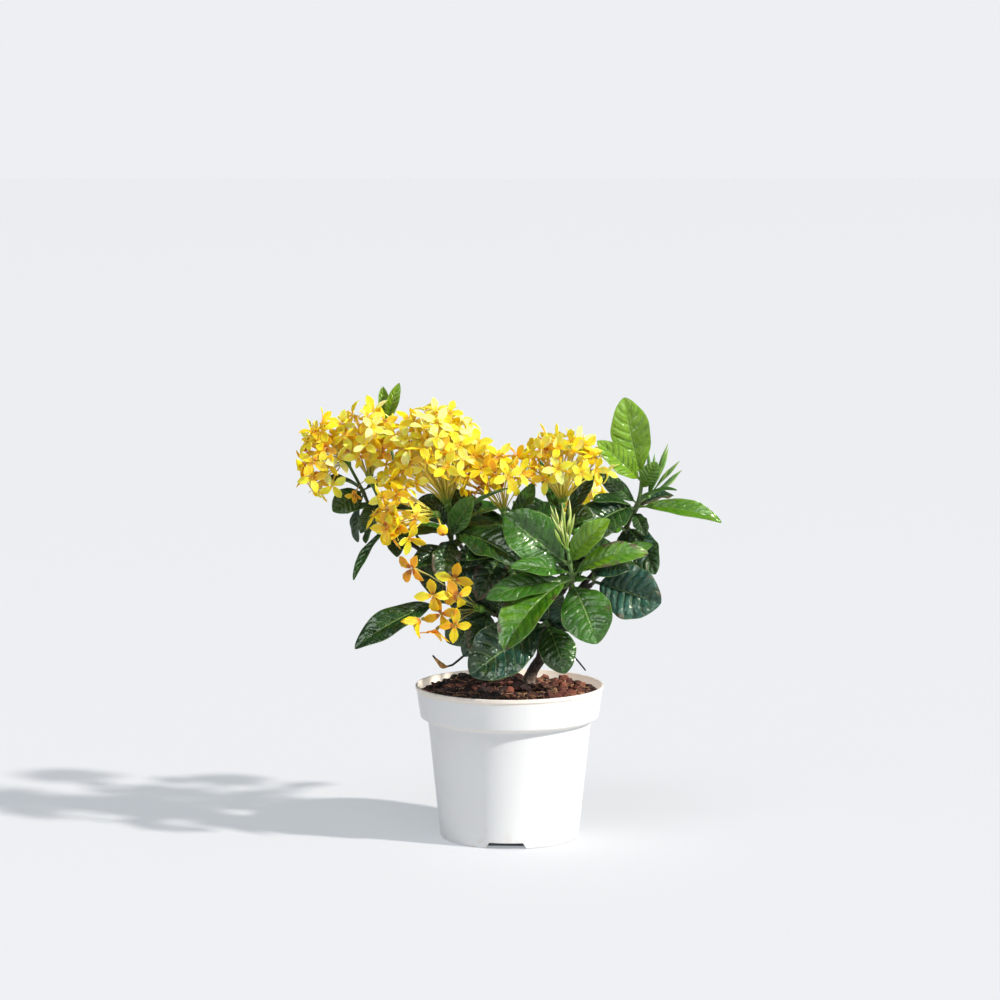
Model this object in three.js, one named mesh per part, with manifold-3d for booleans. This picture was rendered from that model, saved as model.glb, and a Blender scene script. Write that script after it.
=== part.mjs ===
// A yellow ixora in bloom in a white nursery pot: pot, soil, woody trunk with its limbs,
// leafy shoots, flower heads and bud clusters, each a solid of its own.
// Millimetres, +Z up, origin on the pot's underside at its middle, viewed from -Y.

import * as THREE from 'three';
import { mergeVertices } from 'three/addons/utils/BufferGeometryUtils.js';
import Module from 'manifold-3d';

const wasm = await Module();
wasm.setup();

// ---------------------------------------------------------------- driving dimensions

const POT = {
  height: 122,
  rimRadius: 75,         // outer radius at the lip
  bandRadius: 71,        // outer radius at the lower edge of the collar band
  bandBottom: 96.5,      // height of the collar band's lower edge
  shoulderRadius: 65,    // outer radius of the body under the band
  shoulderHeight: 94,
  footRadius: 55.3,
  wall: 1.4,
  floor: 6.4,
  round: 1.2,            // rounding at the foot, band and lip
  segments: 24,
};

const NOTCH = { count: 3, bottomWidth: 34, topWidth: 26.5, height: 4.9, depth: 13, drain: 4, aim: -93 };

const SOIL = { edge: 115.5, middle: 119, lumps: 1.7, gap: 0.3, rings: 4 };

const TRUNK = { x: 15, y: 8, foot: 84, radius: 5.2, sides: 8 };

const SEAT = 0.3;        // gap between pieces that touch on the plant
const STRAIGHT = 6;      // how far a shoot runs on in its limb's direction
const LEAF = { thickness: 0.9, petiole: 1.3, fold: 0.24 };
const LEAF_ROWS = [0, 0.1, 0.33, 0.6, 0.85, 1];
const SLIM_ROWS = [0, 0.1, 0.42, 0.76, 1];
const SLIM = 28;         // width under which a leaf has the slim rows
const PLAIN_ROWS = [0, 0.1, 1];       // rows without a rib: the petiole's ends and the tip
const FREE_FROM = 2;     // row from which a leaf's blade stands free of its own shoot
const FLORET = { radius: 13.2, shoulder: 8.6, spread: 0.56, notch: 3, funnel: 2.8, droop: 1.6, tube: 1.0 };
const KNOT = { foot: 1.5, radius: 5.5, middle: 5, crown: 3, height: 9 };  // where a head's tubes meet
const BUD_KNOT = 0.45;   // a bud cluster's knot is that share of a head's
const BUD_START = 0.04;  // how far along from the knot's middle to its tip a bud starts
const SUNK = 3.4;        // how far from the knot's middle its tubes start
const CLEAR = 0.4;       // how much a leaf or floret is thickened when it is tried for room

// Directions that a leaf's upper face looks in.
const UP = [0, -0.35, 1];
const FRONT = [0, -1, 0.35];
const LEFT = [-1, -0.5, 0.5];
const TILTED = [0, -0.8, 0.7];
const SIDEWAYS = [-0.6, -1, 0.1];

// ---------------------------------------------------------------- small helpers

const vec = (p) => new THREE.Vector3(p[0], p[1], p[2]);

// A seeded draw between 0 and 1 (mulberry32).
function draws(seed) {
  let state = seed >>> 0;
  return () => {
    state = (state + 0x6d2b79f5) >>> 0;
    let t = state;
    t = Math.imul(t ^ (t >>> 15), t | 1);
    t ^= t + Math.imul(t ^ (t >>> 7), t | 61);
    return ((t ^ (t >>> 14)) >>> 0) / 4294967296;
  };
}

function toSolid(geometry) {
  const bare = geometry.index ? geometry.toNonIndexed() : geometry.clone();
  bare.deleteAttribute('normal');
  bare.deleteAttribute('uv');
  const merged = mergeVertices(bare, 1e-4);
  const vertProperties = Float32Array.from(merged.attributes.position.array);
  const triVerts = Uint32Array.from(merged.index.array);
  return new wasm.Manifold(new wasm.Mesh({ numProp: 3, vertProperties, triVerts }));
}

function toGeometry(solid) {
  const mesh = solid.getMesh();
  const geometry = new THREE.BufferGeometry();
  geometry.setAttribute('position', new THREE.BufferAttribute(mesh.vertProperties, 3));
  geometry.setIndex(new THREE.BufferAttribute(mesh.triVerts, 1));
  return geometry;
}

function meshFrom(points, faces) {
  const geometry = new THREE.BufferGeometry();
  const flat = points.flatMap((p) => [p.x, p.y, p.z]);
  geometry.setAttribute('position', new THREE.Float32BufferAttribute(flat, 3));
  geometry.setIndex(faces.flat());
  return geometry;
}

const fuse = (solids) => solids.reduce((sum, solid) => sum.add(solid));

// ---------------------------------------------------------------- stems

// A tapering rod along a curve: rings of the given sides, closed at both ends.
function rod(curve, startRadius, endRadius, sides, steps) {
  const points = [];
  const faces = [];
  const frames = curve.computeFrenetFrames(steps, false);
  for (let i = 0; i <= steps; i += 1) {
    const middle = curve.getPointAt(i / steps);
    const radius = THREE.MathUtils.lerp(startRadius, endRadius, i / steps);
    for (let k = 0; k < sides; k += 1) {
      const angle = (2 * Math.PI * k) / sides;
      points.push(middle.clone()
        .addScaledVector(frames.normals[i], radius * Math.cos(angle))
        .addScaledVector(frames.binormals[i], radius * Math.sin(angle)));
    }
  }
  for (let i = 0; i < steps; i += 1) {
    for (let k = 0; k < sides; k += 1) {
      const a = i * sides + k;
      const b = i * sides + ((k + 1) % sides);
      faces.push([a, b, b + sides], [a, b + sides, a + sides]);
    }
  }
  const last = steps * sides;
  for (let k = 1; k < sides - 1; k += 1) {
    faces.push([0, k + 1, k], [last, last + k, last + k + 1]);
  }
  return toSolid(meshFrom(points, faces));
}

const path = (points) => new THREE.CatmullRomCurve3(points.map(vec), false, 'centripetal');

// ---------------------------------------------------------------- leaves

// Half the blade's width at v, from 0 where the petiole ends to 1 at the tip.
const bladeShape = (v) => Math.sin(Math.PI * v ** 1.25) ** 0.64;

// One leaf: a petiole and an obovate blade, arched along its rib and folded up at its sides.
// grow thickens and widens it all over, and fromRow leaves out what is nearer the stem,
// for trying whether there is room.
function leafSolid([root, tip, width, crest, face], grow = 0, fromRow = 0) {
  const chord = tip.clone().sub(root);
  const along = chord.clone().normalize();
  const lift = vec(face).addScaledVector(along, -vec(face).dot(along)).normalize();
  const bend = root.clone().addScaledVector(chord, 0.45).addScaledVector(lift, 2 * crest);
  const rib = new THREE.QuadraticBezierCurve3(root, bend, tip);
  const petioleEnd = LEAF_ROWS[1];
  const rows = (width < SLIM ? SLIM_ROWS : LEAF_ROWS).slice(fromRow);
  const upper = [];
  const lower = [];
  for (const u of rows) {
    const middle = rib.getPoint(u);
    const side = rib.getTangent(u).cross(lift).normalize();
    const normal = side.clone().cross(rib.getTangent(u)).normalize();
    const v = Math.min(Math.max((u - petioleEnd) / (1 - petioleEnd), 0), 1);
    const half = Math.max((width / 2) * bladeShape(v), LEAF.petiole * (u < 0.5 ? 1 : 0.5)) + grow;
    const across = PLAIN_ROWS.includes(u) ? [-1, 1] : [-1, 0, 1];
    const row = across.map((share) => middle.clone()
      .addScaledVector(side, share * half)
      .addScaledVector(normal, Math.abs(share) * half * LEAF.fold));
    upper.push(row.map((point) => point.clone().addScaledVector(normal, LEAF.thickness / 2 + grow)));
    lower.push(row.map((point) => point.clone().addScaledVector(normal, -LEAF.thickness / 2 - grow)));
  }
  return toSolid(sheet(upper, lower));
}

// A thin closed sheet from rows of two or three points, split alike above and below.
function sheet(upper, lower) {
  const points = [...upper.flat(), ...lower.flat()];
  const below = upper.flat().length;
  const faces = [];
  const left = [];
  const right = [];
  let start = 0;
  upper.forEach((row, r) => {
    const next = upper[r + 1];
    left.push(start);
    right.push(start + row.length - 1);
    if (next) {
      for (const [a, b, c] of strip(start, row.length, start + row.length, next.length)) {
        faces.push([a, b, c], [below + a, below + c, below + b]);
      }
    }
    start += row.length;
  });
  const firstMiddle = upper[0].length === 3 ? [1] : [];
  const rim = [0, ...firstMiddle, ...right, ...left.slice(1).reverse()];
  rim.forEach((a, i) => {
    const b = rim[(i + 1) % rim.length];
    faces.push([a, below + a, below + b], [a, below + b, b]);
  });
  return meshFrom(points, faces);
}

// Triangles between a row of m points from index a and the next row of n points from index b.
function strip(a, m, b, n) {
  if (m < n) return [[a, b + 1, b], [a, a + 1, b + 1], [a + 1, b + 2, b + 1]];
  if (m > n) return [[a, a + 1, b], [a + 1, b + 1, b], [a + 1, a + 2, b + 1]];
  const faces = [];
  for (let c = 0; c < m - 1; c += 1) {
    faces.push([a + c, a + c + 1, b + c + 1], [a + c, b + c + 1, b + c]);
  }
  return faces;
}

// ---------------------------------------------------------------- florets and buds

// One floret: four broad pointed petals round a funnel, on a slim tube of three sides that
// starts inside the head's knot. Without its tube it is the star alone.
function floretSolid([base, heart, facing, roll, size], grow = 0, tube = true) {
  const out = facing.clone().normalize();
  const level = Math.abs(out.z) > 0.9 ? vec([1, 0, 0]) : vec([0, 0, 1]);
  const right = new THREE.Vector3().crossVectors(level, out).normalize();
  const upward = new THREE.Vector3().crossVectors(out, right);
  const place = (radius, angle, height) => heart.clone()
    .addScaledVector(right, radius * Math.cos(angle))
    .addScaledVector(upward, radius * Math.sin(angle))
    .addScaledVector(out, height);
  const reach = size + grow / FLORET.radius;
  const points = [];
  for (let petal = 0; petal < 4; petal += 1) {
    const angle = roll + (petal * Math.PI) / 2;
    points.push(place(FLORET.shoulder * reach, angle - FLORET.spread, -FLORET.droop * 0.3));
    points.push(place(FLORET.radius * reach, angle, -FLORET.droop));
    points.push(place(FLORET.shoulder * reach, angle + FLORET.spread, -FLORET.droop * 0.3));
    points.push(place(FLORET.notch * reach, angle + Math.PI / 4, 0));
  }
  const count = points.length;
  const throat = points.push(place(0, 0, 0.4 + grow)) - 1;
  const faces = [];
  for (let i = 0; i < count; i += 1) faces.push([throat, i, (i + 1) % count]);
  if (!tube) {
    const under = points.push(place(0, 0, -FLORET.funnel - grow)) - 1;
    for (let i = 0; i < count; i += 1) faces.push([under, (i + 1) % count, i]);
    return toSolid(meshFrom(points, faces));
  }
  const start = base.clone().addScaledVector(heart.clone().sub(base).normalize(), SUNK);
  const neck = points.length;
  const corners = [0, 1, 2].map((k) => roll + Math.PI / 4 + (k * 2 * Math.PI) / 3);
  for (const angle of corners) points.push(place(FLORET.tube + grow, angle, -FLORET.funnel - grow));
  for (const angle of corners) {
    const spoke = place(FLORET.tube + grow, angle, 0).sub(heart);
    points.push(start.clone().add(spoke));
  }
  const sectors = [0, 5, 10, count];
  for (let k = 0; k < 3; k += 1) {
    const here = neck + k;
    const next = neck + ((k + 1) % 3);
    const from = sectors[k];
    const to = sectors[k + 1];
    for (let i = from; i < to; i += 1) faces.push([here, (i + 3 + 1) % count, (i + 3) % count]);
    faces.push([here, next, (to + 3) % count]);
    faces.push([here, here + 3, next + 3], [here, next + 3, next]);
  }
  faces.push([neck + 3, neck + 5, neck + 4]);
  return toSolid(meshFrom(points, faces));
}

const starSolid = (floret) => floretSolid(floret, 0, false);

// One pointed bud on its own short tube: a spindle of four sides.
function budSolid([base, tip, radius], grow = 0) {
  const along = tip.clone().sub(base);
  const curve = new THREE.LineCurve3(base, tip);
  const frames = curve.computeFrenetFrames(1, false);
  const points = [base.clone()];
  const rings = [[0.12, 0.5], [0.72, 1]];
  for (const [u, share] of rings) {
    for (let k = 0; k < 4; k += 1) {
      const angle = (k * Math.PI) / 2;
      points.push(base.clone().addScaledVector(along, u)
        .addScaledVector(frames.normals[0], (radius * share + grow) * Math.cos(angle))
        .addScaledVector(frames.binormals[0], (radius * share + grow) * Math.sin(angle)));
    }
  }
  points.push(tip.clone().addScaledVector(along.clone().normalize(), grow));
  const faces = [];
  for (let k = 0; k < 4; k += 1) {
    const a = 1 + k;
    const b = 1 + ((k + 1) % 4);
    faces.push([0, b, a], [a, b, b + 4], [a, b + 4, a + 4], [a + 4, b + 4, 9]);
  }
  return toSolid(meshFrom(points, faces));
}

// The knot on a stalk's end: a low double cone with a flat foot.
function knotSolid(foot, along, scale) {
  const { radius, middle, crown, height } = KNOT;
  const profile = [[0, 0], [KNOT.foot, 0], [radius, middle], [crown, height], [0, height]];
  const lathe = new THREE.LatheGeometry(profile.map(([r, h]) => new THREE.Vector2(r, h)), 5);
  lathe.scale(scale, scale, scale);
  lathe.applyQuaternion(new THREE.Quaternion().setFromUnitVectors(vec([0, 1, 0]), along));
  lathe.translate(foot.x, foot.y, foot.z);
  return toSolid(lathe);
}

// ---------------------------------------------------------------- the woody trunk and its limbs

// Each limb runs through its points, with its thickness at both ends.
const LIMBS = {
  left: { points: [[24, -2, 157], [2, -8, 178], [-28, -14, 205], [-42, -20, 222]], from: 3.6, to: 2.4 },
  farLeft: { points: [[-20, -12, 198], [-56, -4, 219], [-84, 0, 240]], from: 2.9, to: 2.2 },
  outerLeft: { points: [[-72, -1, 231], [-90, 6, 240], [-104, 6, 254]], from: 2.2, to: 1.8 },
  young: { points: [[-62, -2, 224], [-74, 10, 240], [-80, 16, 254]], from: 2.0, to: 1.7 },
  centre: { points: [[21, -2, 160], [8, -6, 195], [0, -12, 222]], from: 3.2, to: 2.3 },
  right: { points: [[26, -2, 158], [38, 2, 190], [44, -2, 222]], from: 3.4, to: 2.3 },
  farRight: { points: [[34, 0, 176], [62, 4, 205], [82, 4, 228]], from: 3.0, to: 2.3 },
  lowRight: { points: [[56, 3, 198], [62, -8, 201], [65, -18, 205]], from: 2.2, to: 1.9 },
  front: { points: [[25, -3, 158], [36, -22, 176], [44, -40, 190]], from: 3.0, to: 2.3 },
  lowFront: { points: [[30, -12, 166], [30, -22, 168], [30, -31, 171]], from: 2.3, to: 1.9 },
  lowLeft: { points: [[10, -6, 170], [-3, -22, 177], [-11, -36, 183]], from: 2.6, to: 2.0 },
  lowFarLeft: { points: [[-18, -12, 195], [-32, -17, 193], [-42, -22, 192]], from: 2.3, to: 1.9 },
  backLeft: { points: [[-6, -9, 184], [-24, 16, 208], [-38, 34, 227]], from: 2.6, to: 2.1 },
  back: { points: [[18, -3, 164], [14, 26, 192], [10, 46, 212]], from: 2.8, to: 2.1 },
  backRight: { points: [[36, 1, 185], [50, 26, 204], [57, 41, 215]], from: 2.4, to: 2.0 },
};

const TWIGS = [
  { points: [[2, -8, 176], [-32, -30, 153], [-50, -40, 142], [-60, -45, 152]], from: 1.3, to: 0.7 },
  { points: [[30, 0, 160], [44, -12, 152], [52, -20, 146], [60, -25, 137]], from: 1.2, to: 0.7 },
];

function trunkSolid() {
  const { x, y, foot, radius, sides } = TRUNK;
  const butt = rod(path([[x, y, foot], [x, y, 124]]), radius, radius, sides, 1);
  const lean = rod(path([[x, y, 121], [x + 3, y - 1, 131], [x + 11, y - 7, 145], [x + 9, y - 10, 159]]),
    radius - 0.2, radius - 1.4, sides, 4);
  const branch = ({ points, from, to }, corners) => rod(path(points), from, to, corners, points.length - 1);
  const limbs = Object.values(LIMBS).map((limb) => branch(limb, 4));
  const twigs = TWIGS.map((twig) => branch(twig, 3));
  return fuse([butt, lean, ...limbs, ...twigs]);
}

// ---------------------------------------------------------------- the shoots

// A shoot goes on from its limb's end through its stem points. A leaf is given by its place
// along the stem, its tip, its width, how high its rib arches, and where its face looks.
const SHOOTS = {
  far_left: {
    limb: 'outerLeft', stem: [[-117, 1, 278], [-126, -3, 296]], seed: 11, pairs: 1, reach: 36,
    leaves: [
      [0.55, [-139, -20, 263], 20, 3, FRONT],
      [0.5, [-122, -10, 237], 13, 3, LEFT],
    ],
  },
  left: {
    limb: 'farLeft', stem: [[-100, -3, 264], [-108, -5, 281]], seed: 12, pairs: 1, reach: 40,
    leaves: [
      [0.3, [-123, -18, 208], 13, 3, LEFT],
      [0.75, [-117, -27, 247], 14, 3, FRONT],
      [0.55, [-113, -24, 238], 14, 2, LEFT],
      [0.25, [-88, -38, 230], 16, 3, TILTED],
    ],
  },
  young: {
    limb: 'young', stem: [[-90, 24, 290], [-99, 23, 325]], seed: 13, pairs: 0, reach: 34,
    leaves: [
      [0.97, [-101, 22, 358], 10, 1, FRONT],
      [0.99, [-88, 16, 361], 10, 1, FRONT],
    ],
  },
  main: {
    limb: 'left', stem: [[-46, -25, 243], [-48, -29, 263]], seed: 14, pairs: 1, reach: 46,
    leaves: [
      [0.62, [9, -72, 229], 30, 8, TILTED],
      [0.7, [3, -46, 243], 20, 5, TILTED],
      [0.78, [-2, -80, 288], 15, 3, UP],
      [0.7, [-70, -12, 275], 24, 4, FRONT],
      [0.85, [-28, -6, 274], 26, 4, FRONT],
      [0.55, [-24, -64, 276], 18, 3, FRONT],
      [0.5, [-54, -62, 213], 22, 4, FRONT],
      [0.3, [-76, -50, 222], 20, 4, TILTED],
    ],
  },
  centre: {
    limb: 'centre', stem: [[-3, -24, 244], [-4, -32, 258]], seed: 15, pairs: 1, reach: 46,
    leaves: [
      [0.6, [19, -22, 286], 14, 2, FRONT],
      [0.2, [-33, -66, 232], 20, 4, TILTED],
      [0.12, [12, -50, 196], 26, 5, FRONT],
      [0.3, [-25, -56, 198], 24, 5, FRONT],
      [0.45, [-40, -50, 222], 20, 4, TILTED],
      [0.1, [-38, -6, 208], 26, 4, FRONT],
    ],
  },
  right: {
    limb: 'right', stem: [[42, -14, 246], [41, -23, 264]], seed: 16, pairs: 1, reach: 46,
    leaves: [
      [0.75, [66, 0, 294], 13, 3, FRONT],
      [0.6, [64, -46, 262], 22, 5, TILTED],
      [0.7, [18, -44, 272], 20, 3, FRONT],
      [0.55, [24, 24, 301], 10, 1, UP],
      [0.3, [72, -34, 232], 24, 4, TILTED],
      [0.12, [53, -38, 213], 24, 4, FRONT],
    ],
  },
  far_right: {
    limb: 'farRight', stem: [[94, 3, 250], [102, 0, 268], [105, -4, 288]], seed: 17, pairs: 1, reach: 44,
    leaves: [
      [0.98, [90, -15, 352], 31, 2, FRONT],
      [0.95, [69, -30, 319], 19, 3, FRONT],
      [0.85, [110, -8, 305], 15, 2, FRONT],
      [0.75, [131, -20, 281], 7, 2, UP],
      [0.62, [168, -15, 255], 17, 8, TILTED],
      [0.66, [70, -6, 292], 14, 2, FRONT],
      [0.6, [50, -38, 254], 34, 10, TILTED],
      [0.3, [51, -48, 252], 24, 5, TILTED],
      [0.55, [107, -24, 244], 12, 2, FRONT],
      [0.35, [114, -36, 216], 24, 5, FRONT],
      [0.08, [93, -14, 233], 20, 3, FRONT],
    ],
  },
  low_right: {
    limb: 'lowRight', stem: [[66, -26, 209], [66, -32, 214]], seed: 18, pairs: 1, reach: 44,
    leaves: [
      [0.8, [111, -44, 240], 15, 4, TILTED],
      [0.4, [118, -48, 194], 43, 4, FRONT],
      [0.9, [67, -34, 250], 20, 3, FRONT],
      [0.7, [93, -60, 222], 20, 4, TILTED],
    ],
  },
  front: {
    limb: 'front', stem: [[47, -51, 203], [48, -59, 216], [45, -61, 235]], seed: 19, pairs: 0, reach: 40,
    leaves: [
      [0.62, [107, -78, 239], 20, 12, TILTED],
      [0.52, [67, -92, 169], 40, 6, FRONT],
      [0.6, [-5, -96, 165], 37, 9, UP],
      [0.8, [0, -62, 270], 38, 4, FRONT],
      [0.84, [76, -84, 264], 20, 7, SIDEWAYS],
      [0.68, [-1, -82, 229], 16, 3, TILTED],
      [0.56, [-18, -86, 205], 22, 4, TILTED],
    ],
  },
  low_front: {
    limb: 'lowFront', stem: [[30, -42, 176], [28, -50, 180]], seed: 20, pairs: 0, reach: 40,
    leaves: [
      [0.8, [43, -74, 143], 29, 5, FRONT],
      [0.9, [-31, -70, 141], 44, 6, FRONT],
      [0.5, [0, -52, 214], 24, 4, FRONT],
      [0.3, [62, -50, 195], 24, 4, FRONT],
      [0.7, [-9, -62, 158], 24, 4, FRONT],
      [0.4, [30, -50, 216], 27, 4, FRONT],
    ],
  },
  low_left: {
    limb: 'lowLeft', stem: [[-15, -42, 186], [-19, -47, 188]], seed: 21, pairs: 0, reach: 38,
    leaves: [
      [0.6, [-22, -72, 158], 25, 5, FRONT],
      [0.3, [-20, -34, 226], 18, 3, FRONT],
      [0.4, [-36, -56, 153], 18, 4, FRONT],
      [0.2, [-3, -50, 206], 22, 4, FRONT],
      [0.12, [-37, -38, 226], 22, 4, FRONT],
      [0.1, [-49, -30, 200], 24, 3, FRONT],
      [0.5, [-50, -42, 163], 26, 4, FRONT],
      [0.5, [-50, -46, 222], 20, 3, FRONT],
    ],
  },
  low_far_left: {
    limb: 'lowFarLeft', stem: [[-50, -28, 192], [-56, -33, 193]], seed: 22, pairs: 0, reach: 38,
    leaves: [
      [0.9, [-121, -60, 161], 25, 6, TILTED],
      [0.5, [-68, -40, 227], 18, 3, FRONT],
    ],
  },
  back_left: {
    limb: 'backLeft', stem: [[-43, 48, 246], [-45, 54, 258]], seed: 23, pairs: 2, reach: 54, leaves: [],
  },
  back: {
    limb: 'back', stem: [[6, 58, 232], [4, 62, 250], [4, 62, 262]], seed: 24, pairs: 3, reach: 54, leaves: [],
  },
  back_right: {
    limb: 'backRight', stem: [[57, 52, 228], [56, 57, 236]], seed: 25, pairs: 2, reach: 54, leaves: [],
  },
};

// Short side stalks that carry a further head or bud cluster, fused to a shoot's stem.
const STALKS = {
  front_left: { shoot: 'main', points: [[-46, -24, 240], [-52, -36, 254], [-55, -43, 260]], radius: 1.3 },
  far_right_buds: { shoot: 'far_right', points: [[101, 0, 266], [105, 0, 269], [108, 0, 271]], radius: 1.4 },
};

// How the further pairs of leaves stand on a shoot: from and over which share of its stem, how
// far their directions and lengths are drawn, how far a tip rises or droops, and their width and
// arch, as shares of the leaf's reach.
const PAIR = {
  from: 0.15, over: 0.8, twist: 1.2, stray: 0.4, shortest: 0.8, spare: 0.3,
  rise: 0.35, droop: 0.75, width: 0.38, crest: 0.12,
};

// Leaves in pairs that face each other, each pair turned a quarter from the last.
function pairRows(shoot) {
  const draw = draws(shoot.seed);
  const rows = [];
  for (let pair = 0; pair < shoot.pairs; pair += 1) {
    const along = PAIR.from + (PAIR.over * (pair + 0.5)) / shoot.pairs;
    const turn = (pair * Math.PI) / 2 + PAIR.twist * draw();
    for (const side of [0, Math.PI]) {
      const azimuth = turn + side + PAIR.stray * (draw() - 0.5);
      const reach = shoot.reach * (PAIR.shortest + PAIR.spare * draw());
      const rise = reach * (PAIR.rise - PAIR.droop * draw() * (1 - along / 2));
      const root = shoot.curve.getPointAt(along);
      const tip = root.add(vec([reach * Math.cos(azimuth), reach * Math.sin(azimuth), rise]));
      rows.push([along, tip.toArray(), reach * PAIR.width, reach * PAIR.crest, UP]);
    }
  }
  return rows;
}

// ---------------------------------------------------------------- the flower heads

// A head's tubes meet at its base. Its florets cover a dome with the given middle and half sizes;
// strays are further florets placed one by one.
const HEADS = {
  far_left: { on: 'far_left', dome: [-148, -16, 304], half: [15, 21, 31], florets: 11, seed: 31 },
  left: { on: 'left', dome: [-112, -16, 318], half: [25, 26, 27], florets: 14, seed: 32 },
  main: { on: 'main', dome: [-58, -40, 309], half: [37, 34, 37], florets: 21, seed: 33 },
  front_left: { on: 'front_left', dome: [-86, -66, 268], half: [19, 14, 25], florets: 9, seed: 34 },
  centre: { on: 'centre', dome: [-12, -50, 294], half: [28, 20, 20], florets: 10, seed: 35 },
  right: { on: 'right', dome: [42, -34, 305], half: [30, 26, 19], florets: 15, seed: 36 },
  low: { on: 'low_left', dome: [-52, -80, 197], half: [15, 10, 30], florets: 8, seed: 37 },
  back_left: { on: 'back_left', dome: [-50, 70, 290], half: [32, 28, 24], florets: 10, seed: 38 },
  back_right: { on: 'back_right', dome: [56, 74, 262], half: [25, 22, 18], florets: 7, seed: 39 },
};

// How the florets lie on a dome: how far down its sides they reach, in half heights, from which
// share of its half sizes outwards, how much of their facing follows the dome, and their size.
const SPREAD = {
  reach: 1.32, twist: 0.5, inner: 0.78, outward: 0.8, lean: [0, -0.25, 0.25], small: 0.9, spare: 0.16,
};

// Florets all over a dome, from its top down, each turned on by the golden angle.
function headRows(head) {
  const draw = draws(head.seed);
  const { base } = head;
  const dome = vec(head.dome);
  const axis = dome.clone().sub(base).normalize();
  const toAxis = new THREE.Quaternion().setFromUnitVectors(vec([0, 0, 1]), axis);
  const rows = [];
  const golden = Math.PI * (3 - Math.sqrt(5));
  for (let i = 0; i < head.florets; i += 1) {
    const height = 1 - (SPREAD.reach * (i + 0.5)) / head.florets;
    const turn = golden * i + SPREAD.twist * draw();
    const ring = Math.sqrt(Math.max(0, 1 - height * height));
    const ray = vec([ring * Math.cos(turn), ring * Math.sin(turn), height]).applyQuaternion(toAxis);
    const depth = THREE.MathUtils.lerp(SPREAD.inner, 1, draw());
    const heart = dome.clone().add(ray.clone().multiply(vec(head.half)).multiplyScalar(depth));
    const facing = ray.clone().multiplyScalar(SPREAD.outward).add(vec(SPREAD.lean));
    rows.push([base, heart, facing, draw() * Math.PI, SPREAD.small + SPREAD.spare * draw()]);
  }
  return rows;
}

const BUDS = {
  far_right: {
    on: 'far_right_buds',
    tips: [[125, -5, 315], [134, -12, 302], [136, -6, 294], [109, -8, 311], [115, 6, 306],
      [126, 8, 310], [132, 4, 286], [120, -14, 298]],
    radius: 1.6,
  },
  front: {
    on: 'front',
    tips: [[31, -66, 273], [24, -62, 262], [40, -70, 275], [46, -58, 277], [35, -56, 270],
      [20, -64, 250], [50, -66, 266], [28, -72, 256]],
    radius: 1.3,
  },
};

// ---------------------------------------------------------------- finding room

// Everything that stands so far: its node, its solid with its box, and the part of it, if any,
// that should also stand free of its own node.
const placed = [];

function boxOf(solid) {
  const { min, max } = solid.boundingBox();
  return new THREE.Box3(vec(min), vec(max));
}

const meets = (a, b) => a && b && !a.intersect(b).isEmpty();

function clearOfOthers(node, tried) {
  const box = boxOf(tried);
  return !placed.some((other) => other.node !== node
    && other.box.intersectsBox(box) && meets(tried, other.solid));
}

function clearOfOwn(node, solid, free) {
  const box = boxOf(solid);
  return !placed.some((other) => other.node === node && other.box.intersectsBox(box)
    && (meets(free, other.solid) || meets(solid, other.free)));
}

// Small turns that are tried in order: none, then ever wider ones in eight directions.
const TURNS = [[0, 0]];
for (const angle of [0.1, 0.2, 0.32, 0.46]) {
  for (let k = 0; k < 8; k += 1) {
    TURNS.push([angle * Math.cos((k * Math.PI) / 4), angle * Math.sin((k * Math.PI) / 4)]);
  }
}

// Turns a free end about its root: sideways round +Z, and up or down.
function turned(root, end, [sideways, lift]) {
  const reach = end.clone().sub(root);
  const across = Math.hypot(reach.x, reach.y) > 1e-6
    ? new THREE.Vector3(reach.y, -reach.x, 0).normalize()
    : vec([1, 0, 0]);
  reach.applyAxisAngle(across, lift).applyAxisAngle(vec([0, 0, 1]), sideways);
  return root.clone().add(reach);
}

// ---------------------------------------------------------------- building the plant

const nodes = new Map();
const ends = {};         // the curve of each shoot or stalk, which a knot is seated on

function addTo(node, solid, free = null) {
  nodes.set(node, [...(nodes.get(node) ?? []), solid]);
  placed.push({ node, solid, free, box: boxOf(solid) });
}

// Adds a leaf, floret or bud, given as [root, free end, ...], at the first small turn about its
// root that clears all other nodes and its own neighbours, or else all other nodes.
function grow(node, shape, piece, freeShape) {
  const [root, end, ...rest] = piece;
  let second = null;
  for (const turn of TURNS) {
    const tried = [root, turned(root, end, turn), ...rest];
    if (!clearOfOthers(node, shape(tried, CLEAR))) continue;
    second = second ?? tried;
    if (clearOfOwn(node, shape(tried), freeShape(tried))) {
      addTo(node, shape(tried), freeShape(tried));
      return;
    }
  }
  if (second) addTo(node, shape(second), freeShape(second));
}

function growStems() {
  for (const [name, shoot] of Object.entries(SHOOTS)) {
    const limb = LIMBS[shoot.limb];
    const end = vec(limb.points.at(-1));
    const onward = path(limb.points).getTangent(1);
    const start = end.clone().addScaledVector(onward, SEAT);
    const straight = end.clone().addScaledVector(onward, STRAIGHT);
    shoot.curve = path([start.toArray(), straight.toArray(), ...shoot.stem]);
    ends[name] = shoot.curve;
    addTo(`shoot_${name}`, rod(shoot.curve, limb.to - 0.2, 1.4, 4, 3));
  }
  for (const [name, stalk] of Object.entries(STALKS)) {
    ends[name] = path(stalk.points);
    addTo(`shoot_${stalk.shoot}`, rod(ends[name], stalk.radius, stalk.radius, 4, 1));
  }
}

function growLeaves(rowsOf) {
  for (const [name, shoot] of Object.entries(SHOOTS)) {
    for (const [along, tip, ...rest] of rowsOf(shoot)) {
      const leaf = [shoot.curve.getPointAt(along), vec(tip), ...rest];
      grow(`shoot_${name}`, leafSolid, leaf, (tried) => leafSolid(tried, 0, FREE_FROM));
    }
  }
}

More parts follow.
